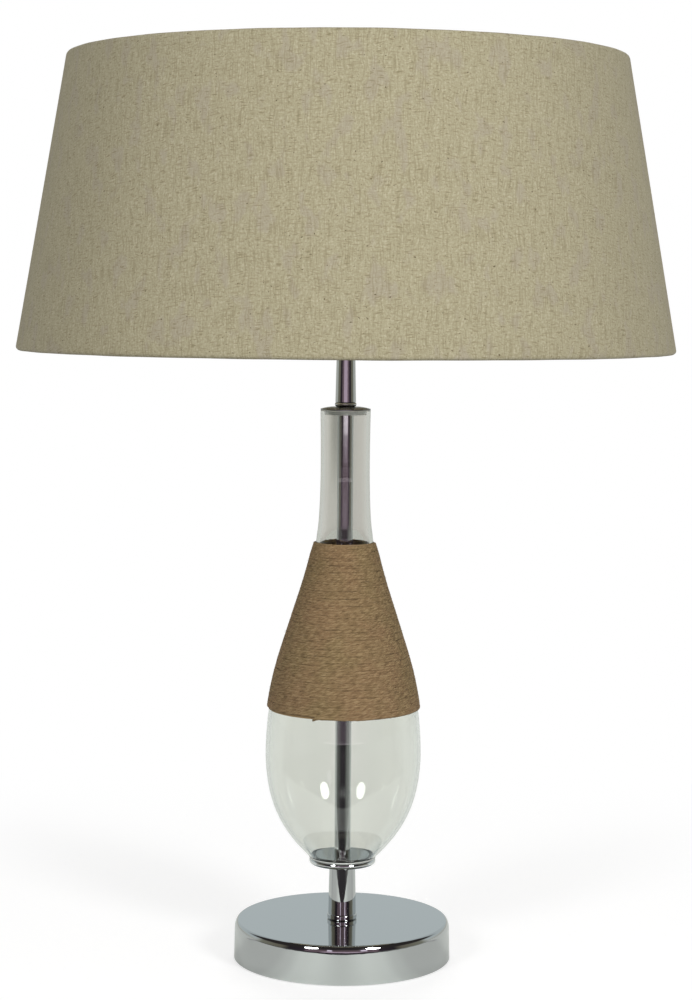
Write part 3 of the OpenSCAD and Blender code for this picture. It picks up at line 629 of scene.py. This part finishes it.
def roll_rim(shape):
    """Moves the round on the cover's upper edge onto an oval that is tall and narrow."""
    top = max(v.co.z for v in shape.verts)
    wide = max(math.hypot(v.co.x, v.co.y) for v in shape.verts if v.co.z > top - CAD_EDGE_R)
    for v in shape.verts:
        r = math.hypot(v.co.x, v.co.y)
        across = (r - (wide - CAD_EDGE_R)) / CAD_EDGE_R
        up = (v.co.z - (top - CAD_EDGE_R)) / CAD_EDGE_R
        if min(across, up) > -RIM_SLACK and abs(math.hypot(across, up) - 1) < RIM_SLACK:
            scale = (wide - RIM_IN + RIM_IN * across) / r
            v.co = (v.co.x * scale, v.co.y * scale, top - RIM_DOWN + RIM_DOWN * up)


# Points of a plated node this close are one, and its edges stay sharp from this angle
WELD = 0.002 * MM
PLATED_SHARP_DEG = 22


def polished(node, finish=None):
    """The same shape as a plated CAD node, with normals that run evenly over its round edges."""
    mesh = NODES[node].data.copy()
    shape = bmesh.new()
    shape.from_mesh(mesh)
    bmesh.ops.remove_doubles(shape, verts=shape.verts, dist=WELD)
    if node == "base_cover":
        roll_rim(shape)
    shape.to_mesh(mesh)
    shape.free()
    if "custom_normal" in mesh.attributes:
        mesh.attributes.remove(mesh.attributes["custom_normal"])
    mesh.shade_smooth()
    if finish:
        mesh.materials[0] = finish
    piece = add(bpy.data.objects.new(node + "_plated", mesh))
    sharpened(piece, PLATED_SHARP_DEG)
    even = piece.modifiers.new("even normals", "WEIGHTED_NORMAL")
    even.keep_sharp = True
    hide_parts(node)
    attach(piece, "stand")


def end_caps(rows, columns):
    """The two flat faces that close a tube of ring_faces at its ends."""
    last = (rows - 1) * columns
    return [tuple(range(columns - 1, -1, -1)), tuple(last + k for k in range(columns))]


# Pad: the round on its edges and its points, and how far in its flat middle begins
PAD_ROUND = 0.5 * MM
PAD_ROUND_POINTS = 5
PAD_MARGIN = 6 * MM


def make_pad():
    """Felt pad under the base, with a soft round on its edges."""
    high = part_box("base_pad")[1]
    middle = high.x - PAD_MARGIN
    bends = np.radians(np.linspace(0, 90, PAD_ROUND_POINTS))
    corner = [(high.x - PAD_ROUND + PAD_ROUND * math.sin(a), PAD_ROUND - PAD_ROUND * math.cos(a))
              for a in bends]
    edge = corner + [(r, high.z - z) for r, z in corner[::-1]]
    line = [(middle, 0), *edge, (middle, high.z)]
    faces = ring_faces(len(line), COLUMNS, False) + end_caps(len(line), COLUMNS)
    piece = mesh_piece("felt_pad", spun(line), faces, "pad")
    sharpened(piece, TURNED_SHARP_DEG)
    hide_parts("base_pad")
    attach(piece, "stand")


# Twine: its turns and width, rings to a turn and sides of a ring, how far it stands off the glass
TWINE_TURNS = 72
TWINE_D = 1.88 * MM
TWINE_RINGS = 150
TWINE_SIDES = 8
TWINE_STAND = 0.42 * MM
TWINE_START_DEG = 247

# Its section: the share by which two plies stand out, and its flattening outward and up. Along it,
# the share by which its width changes, and the waves to a length in which that happens
TWINE_LOBE = 0.09
TWINE_FLAT = 0.72
TWINE_WIDE = 1.28
TWINE_SWELL = 0.06
SWELL_LENGTH = 11 * MM
SWELL_WAVES = (0.31, 0.83, 1.9)

# How far it wanders up and down, the waves to a turn in which it does, the length and drop of its
# lower end that hangs out of the wrap, and the step over which the glass's lean is taken
TWINE_WANDER = 0.26 * MM
WANDER_WAVES = (0.37, 0.93, 1.71, 3.13, 5.37, 9.71)
TWINE_TAIL = 4 * MM
TWINE_TAIL_DROP = 1.4 * MM
SLOPE_STEP = 2 * MM


def drift(at, scales, depth):
    """Smooth random curve of a depth: sines of several rates with phases from the seed."""
    total = sum(np.sin(TURN * (at * s + rng.random())) / math.sqrt(len(scales)) for s in scales)
    return depth * total


def twine_path():
    """The twine's middle, point by point: its angle, radius and height, the lean of the glass there
    and the length run so far."""
    low, high = (corner.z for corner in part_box("twine_backing"))
    turns = np.arange(TWINE_TURNS * TWINE_RINGS + 1) / TWINE_RINGS
    angle = math.radians(TWINE_START_DEG) + TURN * turns
    z = low + TWINE_D / 2 + (high - low - TWINE_D) * turns / TWINE_TURNS
    z += drift(turns, WANDER_WAVES, TWINE_WANDER)
    run = np.concatenate([[0], np.cumsum(TURN * glass_r(z[:-1]) / TWINE_RINGS)])
    tail = np.clip(1 - run / TWINE_TAIL, 0, 1)
    z -= TWINE_TAIL_DROP * tail**2
    lean = np.arctan((glass_r(z + SLOPE_STEP) - glass_r(z - SLOPE_STEP)) / (2 * SLOPE_STEP))
    stand = TWINE_STAND + TWINE_FLAT * TWINE_D / 2
    r = glass_r(z) + stand * np.cos(lean)
    z = z - stand * np.sin(lean)
    return angle, r, z, lean, run


def make_twine():
    """One unbroken twine of two plies, wound turn on turn round the glass."""
    angle, r, z, lean, run = twine_path()
    share = np.arange(TWINE_SIDES) / TWINE_SIDES
    side = TURN * share + math.pi
    thick = TWINE_D / 2 * (1 + drift(run / SWELL_LENGTH, SWELL_WAVES, TWINE_SWELL))
    ply = np.cos(2 * (side[None, :] - TURN * run[:, None] / TWINE_TWIST))
    radius = thick[:, None] * (1 + TWINE_LOBE * ply)
    out, up = TWINE_FLAT * radius * np.cos(side), TWINE_WIDE * radius * np.sin(side)
    ring_r = r[:, None] + out * np.cos(lean)[:, None] + up * np.sin(lean)[:, None]
    ring_z = z[:, None] - out * np.sin(lean)[:, None] + up * np.cos(lean)[:, None]
    points = np.stack(
        [ring_r * np.cos(angle)[:, None], ring_r * np.sin(angle)[:, None], ring_z], -1
    ).reshape(-1, 3)
    strand = np.stack(
        [np.broadcast_to(run[:, None], ring_r.shape), np.broadcast_to(share, ring_r.shape)], -1
    ).reshape(-1, 2)
    faces = ring_faces(len(run), TWINE_SIDES, False) + end_caps(len(run), TWINE_SIDES)
    piece = mesh_piece("jute_twine", points.tolist(), faces, "twine", {"strand": strand})
    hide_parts("twine")
    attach(piece, "stand")


# Fibres of the twine that lie on it or stand off it: count, shortest and longest, rise and lift.
# Then a fibre's radius, its points along and its sides.
FIBRES = {
    "lying_fibres": {"count": 5200, "length": (2.5 * MM, 7 * MM), "rise": 1.2 * MM, "lift": 0.08 * MM},
    "stray_fibres": {"count": 420, "length": (3 * MM, 9 * MM), "rise": 2.2 * MM, "lift": 1.2 * MM},
}
FIBRE_R = 0.045 * MM
FIBRE_POINTS = 5
FIBRE_SIDES = 3

# Where on the wrap they lie: the lowest, the share of its height that they fill, and a power below
# 1 that sets more of them high. Then their bow as a share of the rise, the part of an arch that
# they lift along, and how deep they sink into the twine.
FIBRES_FROM, FIBRES_OVER, FIBRES_HIGH = 0.02, 0.96, 0.85
FIBRE_BOW = 0.25
FIBRE_ARCH = 0.7
FIBRE_SINK = 0.03 * MM


def make_fibres(name, count, length, rise, lift):
    """Fine fibres on the twine, each a thin thread that bends up and out."""
    low, high = (corner.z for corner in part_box("twine_backing"))
    tube = ring_faces(FIBRE_POINTS, FIBRE_SIDES, False) + end_caps(FIBRE_POINTS, FIBRE_SIDES)
    points, faces, strands = [], [], []
    for _ in range(count):
        height = low + (high - low) * (FIBRES_FROM + FIBRES_OVER * rng.random() ** FIBRES_HIGH)
        angle = TURN * rng.random()
        run = length[0] + (length[1] - length[0]) * rng.random()
        top = lift * rng.random() ** 2
        climb = rise * (rng.random() - 0.5)
        bow = FIBRE_BOW * rise * (rng.random() - 0.5)
        start = len(points)
        for i in range(FIBRE_POINTS):
            t = i / (FIBRE_POINTS - 1)
            z = height + climb * t + bow * math.sin(math.pi * t)
            base = glass_r(z) + TWINE_STAND + TWINE_FLAT * TWINE_D - FIBRE_SINK
            r = base + top * math.sin(t * math.pi * FIBRE_ARCH)
            a = angle + run * t / base
            for k in range(FIBRE_SIDES):
                turn = TURN * k / FIBRE_SIDES
                rr, zz = r + FIBRE_R * math.cos(turn), z + FIBRE_R * math.sin(turn)
                points.append((rr * math.cos(a), rr * math.sin(a), zz))
                strands.append((angle + run * t, k / FIBRE_SIDES))
        faces += [tuple(start + k for k in face) for face in tube]
    piece = mesh_piece(name, points, faces, "twine", {"strand": strands})
    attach(piece, "stand")


# Shade cloth: its thickness, the play round a wire, the tail and angle of its hems with the steps and
# points that make them up, the liner's depth, and its grid
CLOTH_T = 0.7 * MM
WIRE_PLAY = 0.05 * MM
HEM_TAIL = 8 * MM
HEM_TAIL_POINTS = (0, 0.35, 0.7, 1)
HEM_ANGLE_DEG = 50
HEM_STEPS = 14
LINER_DEPTH = 0.65 * MM
WALL_ROWS = 26
CLOTH_COLUMNS = 480
CLOTH_SHARP_DEG = 50

# How far the wall and the hems stray from true, and the counts of the waves that they stray in
WALL_SWELL, WALL_WAVES = 0.3 * MM, (1, 2, 3, 5, 8, 13)
HEM_SWELL, HEM_WAVES = 0.12 * MM, (9, 17, 31)

# Overlap seam at the back: its place, width and step, how it tapers, and how many rows of each hem
# it takes in
SEAM_AT_DEG = 90
SEAM_W = 12 * MM
SEAM_STEP = 0.55 * MM
SEAM_TAPER = 0.3
SEAM_HEM_ROWS = 8

# Notches in the lower hem, where the spokes pass
NOTCH_HALF = 2.2 * MM
SPOKES_DEG = (90, 210, 330)


def wire_centre(node):
    """Radius and height of the middle of a wire ring's section, and the wire's radius."""
    low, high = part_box(node)
    wire_r = (high.z - low.z) / 2
    return np.array([high.x - wire_r, (low.z + high.z) / 2]), wire_r


def cloth_line():
    """Middle line of the cloth in its section: (radius, height) points from the lower tail, over
    the lower wire, up the wall, over the upper wire and down to the upper tail. Also the rows
    that lie inside the lower hem."""
    foot, wire_r = wire_centre("shade_lower_ring")
    top, _ = wire_centre("shade_upper_ring")
    up = (top - foot) / np.linalg.norm(top - foot)
    out = np.array([up[1], -up[0]])
    over = wire_r + CLOTH_T / 2 + WIRE_PLAY
    sweep = np.radians(np.linspace(0, 180 + HEM_ANGLE_DEG, HEM_STEPS + 1))
    arc = np.column_stack([-over * np.sin(sweep), over * np.cos(sweep)])
    inner = over - CLOTH_T - LINER_DEPTH
    turn = arc[-1, 0] + (inner - arc[-1, 1]) / math.tan(math.radians(HEM_ANGLE_DEG))
    tail = [(turn + HEM_TAIL * t, inner) for t in HEM_TAIL_POINTS]
    hem = np.vstack([arc, tail])
    lower = [foot + u * up + o * out for u, o in hem[::-1]]
    upper = [top - u * up + o * out for u, o in hem]
    wall = [lower[-1] + (upper[0] - lower[-1]) * t for t in np.arange(1, WALL_ROWS) / WALL_ROWS]
    return np.array(lower + wall + upper), len(tail) + HEM_STEPS // 3


def waves(angle, counts):
    """Mean of waves round the shade, each with its count of crests and a phase from the seed."""
    return sum(drift(angle, (count / TURN,), 1) for count in counts) / len(counts)


def cloth_swell(angle, on_wall):
    """How far the cloth strays outward at each row and column, on the wall and in the hems."""
    wall = WALL_SWELL * waves(angle, WALL_WAVES)[None, :] * on_wall[:, None]
    return wall + HEM_SWELL * waves(angle, HEM_WAVES)[None, :] * (1 - on_wall[:, None])


def seam_lap(line, angle, hem_rows):
    """How far the outer face steps out at each row and column where the cloth overlaps itself."""
    arc = (np.degrees(angle) - SEAM_AT_DEG) * math.pi / 180 * line[:, 0].max()
    lap = np.clip((SEAM_W - arc) / SEAM_W, 0, 1) ** SEAM_TAPER * (arc > 0) * (arc < SEAM_W)
    lap_rows = np.zeros(len(line))
    lap_rows[hem_rows - SEAM_HEM_ROWS:len(line) - hem_rows + SEAM_HEM_ROWS] = 1
    return SEAM_STEP * lap[None, :] * lap_rows[:, None]


def left_out(line, angle, notch_rows):
    """The cells of the cloth's grid that are left out: the notches, and the row past the last."""
    half_cell = TURN / len(angle) / 2
    cut = np.zeros((len(line), len(angle)), bool)
    for spoke in SPOKES_DEG:
        off = np.abs((angle + half_cell - math.radians(spoke) + math.pi) % TURN - math.pi)
        cut[:notch_rows, off < NOTCH_HALF / line[0, 0] + half_cell] = True
    cut[-1] = True
    return cut


def sheet_faces(cut):
    """Faces of a thick sheet: its outer and inner grid, and walls between them along each edge."""
    rows, columns = cut.shape
    other = rows * columns
    faces = []

    def wall(a, b):
        """A face across the sheet's thickness, from point a to b of the outer grid."""
        faces.append((b, a, a + other, b + other))

    for i in range(rows - 1):
        for k in range(columns):
            n = (k + 1) % columns
            a, b, c, d = i * columns + k, i * columns + n, (i + 1) * columns + n, (i + 1) * columns + k
            if cut[i, k]:
                continue
            faces.append((a, b, c, d))
            faces.append((d + other, c + other, b + other, a + other))
            if i == 0 or cut[i - 1, k]:
                wall(a, b)
            if cut[i + 1, k]:
                wall(c, d)
            if cut[i, k - 1]:
                wall(d, a)
            if cut[i, n]:
                wall(b, c)
    return faces


def flat_cut(line, angle):
    """The cloth before it was hung, part of a ring about the apex of its cone, cut open at the back:
    the place of each point of the grid, the cut's width and length, and its area."""
    length = np.concatenate([[0], np.cumsum(np.linalg.norm(np.diff(line, axis=0), axis=1))])
    middle = len(line) // 2
    slope = np.linalg.norm(line[middle] - line[middle - 1]) / abs(line[middle, 0] - line[middle - 1, 0])
    from_apex = line[middle, 0] * slope - (length - length[middle])
    front = (angle + TURN / 4 + math.pi) % TURN - math.pi
    fan = front[None, :] / slope
    places = np.stack(
        [from_apex[:, None] * np.sin(fan), -from_apex[:, None] * np.cos(fan)], -1).reshape(-1, 2)
    fan_half = math.pi / slope
    far, near = from_apex[0], from_apex[-1]
    size = (2 * far * math.sin(fan_half), far - near * math.cos(fan_half))
    return places, size, fan_half * (far**2 - near**2)


def make_cloth():
    """Linen over the two wires as one sheet: rolled hems, an overlap seam at the back."""
    line, notch_rows = cloth_line()
    ahead = np.gradient(line, axis=0)
    ahead /= np.linalg.norm(ahead, axis=1)[:, None]
    outward = np.column_stack([ahead[:, 1], -ahead[:, 0]])
    rows = len(line)
    angle = TURN * np.arange(CLOTH_COLUMNS) / CLOTH_COLUMNS
    hem_rows = (rows - WALL_ROWS - 1) // 2
    on_wall = np.zeros(rows)
    on_wall[hem_rows:rows - hem_rows] = np.sin(np.linspace(0, math.pi, rows - 2 * hem_rows)) ** 0.5
    swell = cloth_swell(angle, on_wall)
    points = []
    for rise in (CLOTH_T / 2 + swell + seam_lap(line, angle, hem_rows), swell - CLOTH_T / 2):
        r = line[:, 0][:, None] + rise * outward[:, 0][:, None]
        z = line[:, 1][:, None] + rise * outward[:, 1][:, None]
        points.append(np.stack([r * np.cos(angle), r * np.sin(angle), z], -1).reshape(-1, 3))
    places, flat, area = flat_cut(line, angle)
    points, cloth = np.vstack(points), np.vstack([places, places])

    faces = sheet_faces(left_out(line, angle, notch_rows))
    used = sorted({v for f in faces for v in f})
    renumber = {v: i for i, v in enumerate(used)}
    faces = [tuple(renumber[v] for v in f) for f in faces]
    piece = mesh_piece("linen_shade", points[used].tolist(), faces, "linen", {"cloth": cloth[used]})
    sharpened(piece, CLOTH_SHARP_DEG)
    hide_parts("shade_fabric")
    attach(piece, "shade")


# Liner: width and step of the lap of its ends, and its grid
LAP_W = 14 * MM
LAP_STEP = 0.45 * MM
LINER_ROWS = 24
LINER_COLUMNS = 360
LINER_SHARP_DEG = 30


def make_liner():
    """Stiff liner of the shade: a rolled cone whose ends lap at the back."""
    outside = outline_of("shade_liner", 1)[[0, -1]]
    inside = outside + outline_of("shade_liner", -1)[0] - outside[0]
    rows, columns = LINER_ROWS, LINER_COLUMNS
    angle = TURN * np.arange(columns) / columns
    arc = (angle - math.radians(SEAM_AT_DEG)) * outside[0, 0]
    lap = LAP_STEP * (arc > 0) * (arc < LAP_W)
    points = []
    for ends, step in ((outside, 0 * lap), (inside, lap)):
        for t in np.linspace(0, 1, rows):
            r, z = ends[0] + (ends[1] - ends[0]) * t
            points += [((r - s) * math.cos(a), (r - s) * math.sin(a), z) for a, s in zip(angle, step)]
    outer = ring_faces(rows, columns, False)
    first = rows * columns
    inner = [tuple(first + v for v in face[::-1]) for face in outer]
    lower = [(k, first + k, first + (k + 1) % columns, (k + 1) % columns) for k in range(columns)]
    top = (rows - 1) * columns
    upper = [tuple(top + v for v in face[::-1]) for face in lower]
    piece = mesh_piece("laminated_liner", points, outer + inner + lower + upper, "liner")
    sharpened(piece, LINER_SHARP_DEG)
    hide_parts("shade_liner")
    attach(piece, "shade")


def ray_kinds(t):
    """1 for rays straight from the camera, for those through glass alone, and for mirrored ones."""
    rays = t.node("ShaderNodeLightPath").outputs
    mirrored = t.times(t.math("GREATER_THAN", rays["Glossy Depth"], 0.5), rays["Is Glossy Ray"])
    through = t.times(t.math("LESS_THAN", rays["Glossy Depth"], 0.5), rays["Is Transmission Ray"])
    return rays["Is Camera Ray"], through, mirrored


def floor_in_metal(t, turn, away):
    """What the floor adds for mirrored rays, by direction and distance, with its dark seam."""
    levels = [(at, tuple(level * c for c in FLOOR_TINT_IN_METAL)) for at, level in FLOOR_IN_METAL]
    start, end = SEAM_AT
    seam = t.times(t.ramp(turn, start - SEAM_EDGE, start), t.ramp(turn, end, end + SEAM_EDGE, 1, 0))
    seam = t.times(seam, t.math("GREATER_THAN", away, SEAM_FROM))
    return t.mix(seam, t.colours(turn, levels), PAST_EDGE)


def past_table_edge(t, x, y, turn):
    """1 past the table's edge, and the colour that is mirrored there."""
    side, across = t.math("ABSOLUTE", x), t.times(x, x)
    straight, slanted, bent = TABLE_EDGE
    rounded = t.math("SQRT", t.plus(across, EDGE_MIDDLE_R**2))
    edge = t.plus(t.times(rounded, slanted), t.times(across, bent))
    beyond = t.math("SUBTRACT", t.math("SUBTRACT", y, edge), straight)
    past = t.times(t.ramp(beyond, -EDGE_SOFT, 0, 1, 0), t.ramp(turn, *EDGE_ENDS, 1, 0))
    beside = t.times(t.ramp(turn, *BESIDE_FROM), t.ramp(x, *LEFT_TO_RIGHT))
    return past, t.mix(beside, PAST_EDGE, BESIDE_PAST_EDGE)


def floor_material():
    """Pale and matt, so that it takes shadow. Camera rays see it lifted to white, mirrored rays see a
    table in a room, and from below it is clear."""
    material = bpy.data.materials.new("floor")
    t = Tree(material)
    t.tree.nodes.clear()
    direct, through, mirrored = ray_kinds(t)
    x, y, _ = t.axes(t.place())
    away = t.math("SQRT", t.plus(t.times(x, x), t.times(y, y)))
    turn = t.math("ARCTAN2", t.math("ABSOLUTE", x), t.times(y, -1.0))
    turn = t.math("DIVIDE", turn, math.pi)
    added = t.mix(mirrored, (0, 0, 0), floor_in_metal(t, turn, away))
    added = t.mix(through, added, FLOOR_IN_GLASS)
    added = t.mix(direct, added, (FLOOR_LIFT,) * 3)
    pale = t.node("ShaderNodeBsdfDiffuse", (FLOOR_COLOUR,) * 3).outputs[0]
    shown = t.node("ShaderNodeAddShader", pale, t.glow(added)).outputs[0]
    past, room = past_table_edge(t, x, y, turn)
    shown = t.cover(t.times(mirrored, past), shown, t.glow(room))
    shown = t.cover(t.times(direct, t.ramp(away, *FLOOR_FADE)), shown, t.glow((1, 1, 1)))
    below = t.node("ShaderNodeNewGeometry").outputs["Backfacing"]
    shown = t.cover(below, shown, t.node("ShaderNodeBsdfTransparent").outputs[0])
    t.node("ShaderNodeOutputMaterial", shown)
    return material


def make_floor():
    """Pale round floor, a hair under the object."""
    shape = bmesh.new()
    bmesh.ops.create_circle(shape, cap_ends=True, segments=FLOOR_SIDES, radius=FLOOR_R)
    bmesh.ops.translate(shape, verts=shape.verts, vec=(0, 0, -FLOOR_GAP))
    mesh = bpy.data.meshes.new("floor")
    shape.to_mesh(mesh)
    shape.free()
    mesh.materials.append(floor_material())
    add(bpy.data.objects.new("floor", mesh))


# What polished metal mirrors of the room, from the back (0) to the camera's side (1). The sky over
# the back is bluer, and overhead it is dark save at the back. Each of the two has a ramp over the
# height of a direction and one from back to front.
ROOM = [
    (0.0, (0.56, 0.57, 0.53)), (0.38, (0.58, 0.60, 0.57)), (0.47, (0.25, 0.25, 0.20)),
    (0.70, (0.17, 0.155, 0.12)), (0.77, (0.03, 0.025, 0.03)), (0.88, (0.04, 0.03, 0.04)),
    (0.90, (0.20, 0.14, 0.17)), (1.0, (0.17, 0.12, 0.14)),
]
SKY = (0.57, 0.63, 0.645)
SKY_RISE = (0.10, 0.20)
SKY_ENDS = (0.35, 0.45, 1, 0)
OVERHEAD = (0.035, 0.03, 0.03)
OVERHEAD_RISE = (0.27, 0.42)
OVERHEAD_FROM = (0.14, 0.32)
BACKDROP_IN_GLASS = (0.585, 0.565, 0.53)

# Keeps the level part of a direction above 0 where it points straight up
JUST_OVER_ONE = 1.0001

# Bright windows on the camera's side, as upright metal mirrors them: lower and upper edge as the
# height of a direction, how far they turn to the sides (1 is straight ahead), and colour. Then how
# soft their level edges and their sides are.
WINDOWS = [
    (-0.0475, 0.12, 0.955, (0.60, 0.46, 0.57)), (-0.0580, -0.0475, 0.91, (1.25, 1.08, 1.22)),
    (-0.070, -0.0612, 0.92, (0.42, 0.32, 0.40)), (-0.13, -0.086, 0.945, (0.26, 0.20, 0.24)),
]
WINDOW_EDGE = 0.0016
WINDOW_FADE = 0.03

# Two narrow lights to the left and right of the camera: sine of the azimuth, half its width. Then
# their heights, how soft their edges are, and from where on toward the camera they stand.
LIGHT_STRIPS = [(-0.225, 0.035), (0.40, 0.045)]
STRIP_HEIGHTS = (0.17, 0.36)
STRIP_EDGE = 0.02
STRIP_FROM = 0.8
STRIP_COLOUR = (1.1, 0.95, 1.15)


def within(t, value, low, high, soft):
    """1 between two values, falling to 0 past them."""
    return t.times(t.ramp(value, low - soft, low), t.ramp(value, high, high + soft, 1, 0))


def mirrored_room(t):
    """What polished metal mirrors of the room in each direction."""
    x, y, z = t.axes(t.node("ShaderNodeTexCoord").outputs["Generated"])
    level = t.math("SQRT", t.math("SUBTRACT", JUST_OVER_ONE, t.times(z, z)))
    front = t.math("SUBTRACT", 0.5, t.times(t.math("DIVIDE", y, level), 0.5))
    room = t.colours(front, ROOM, smooth=False)
    room = t.mix(t.times(t.ramp(z, *SKY_RISE), t.ramp(front, *SKY_ENDS)), room, SKY)
    for low, top, ahead, colour in WINDOWS:
        window = t.times(within(t, z, low, top, WINDOW_EDGE), t.ramp(front, ahead, ahead + WINDOW_FADE))
        room = t.mix(window, room, colour)
    sine = t.math("DIVIDE", x, level)
    for middle, half in LIGHT_STRIPS:
        strip = t.times(within(t, sine, middle - half, middle + half, STRIP_EDGE),
                        within(t, z, *STRIP_HEIGHTS, STRIP_EDGE))
        strip = t.times(strip, t.math("GREATER_THAN", front, STRIP_FROM))
        room = t.mix(strip, room, STRIP_COLOUR)
    return t.mix(t.times(t.ramp(z, *OVERHEAD_RISE), t.ramp(front, *OVERHEAD_FROM)), room, OVERHEAD)


def make_world():
    """White to camera rays, a pale backdrop through glass, the room in mirrors, plain light else."""
    world = bpy.data.worlds.new("world")
    bpy.context.scene.world = world
    t = Tree(world)
    t.tree.nodes.clear()
    direct, through, mirrored = ray_kinds(t)
    colour = t.mix(mirrored, (AMBIENT,) * 3, mirrored_room(t))
    colour = t.mix(through, colour, BACKDROP_IN_GLASS)
    colour = t.mix(direct, colour, (1, 1, 1))
    t.node("ShaderNodeOutputWorld", t.node("ShaderNodeBackground", colour, 1.0).outputs[0])


def make_lamps():
    """Soft lamps left and right of the camera, and one behind."""
    for name, lamp in LAMPS.items():
        data = bpy.data.lights.new(name, "AREA")
        data.shape = "ELLIPSE"
        data.size, data.size_y = lamp["size"]
        # At this power a surface that faces the lamp shows the level's share of its colour
        data.energy = (math.pi * LAMP_DISTANCE) ** 2 * lamp["level"]
        azimuth, elevation = math.radians(lamp["azimuth"]), math.radians(lamp["elevation"])
        level = math.cos(elevation)
        way = np.array([math.sin(azimuth) * level, -math.cos(azimuth) * level, math.sin(elevation)])
        obj = add(bpy.data.objects.new(name, data))
        turn = Matrix.Rotation(azimuth, 4, "Z") @ Matrix.Rotation(math.pi / 2 - elevation, 4, "X")
        obj.matrix_world = Matrix.Translation(np.array(LAMP_TARGET) + LAMP_DISTANCE * way) @ turn
        obj.visible_camera = False
        obj.visible_glossy = lamp["mirrored"]
        obj.visible_transmission = lamp["mirrored"]


make_camera()
dress_cad_nodes()
make_shell("glass_body", "glass_bottle", "glass")
for plated in ("base_cover", "foot_ring", "column", "centre_tube", "stem_bead", "stem"):
    polished(plated)
polished("glass_cup", CUP_PAINTED_CHROME)
polished("neck_cap", CAP_PAINTED_CHROME)
make_twine()
for kind, sizes in FIBRES.items():
    make_fibres(kind, **sizes)
make_cloth()
make_pad()
make_shell("twine_backing", "paper_backing", "twine_backing")
make_liner()
make_floor()
make_world()
make_lamps()
bpy.context.scene.view_settings.view_transform = "Standard"
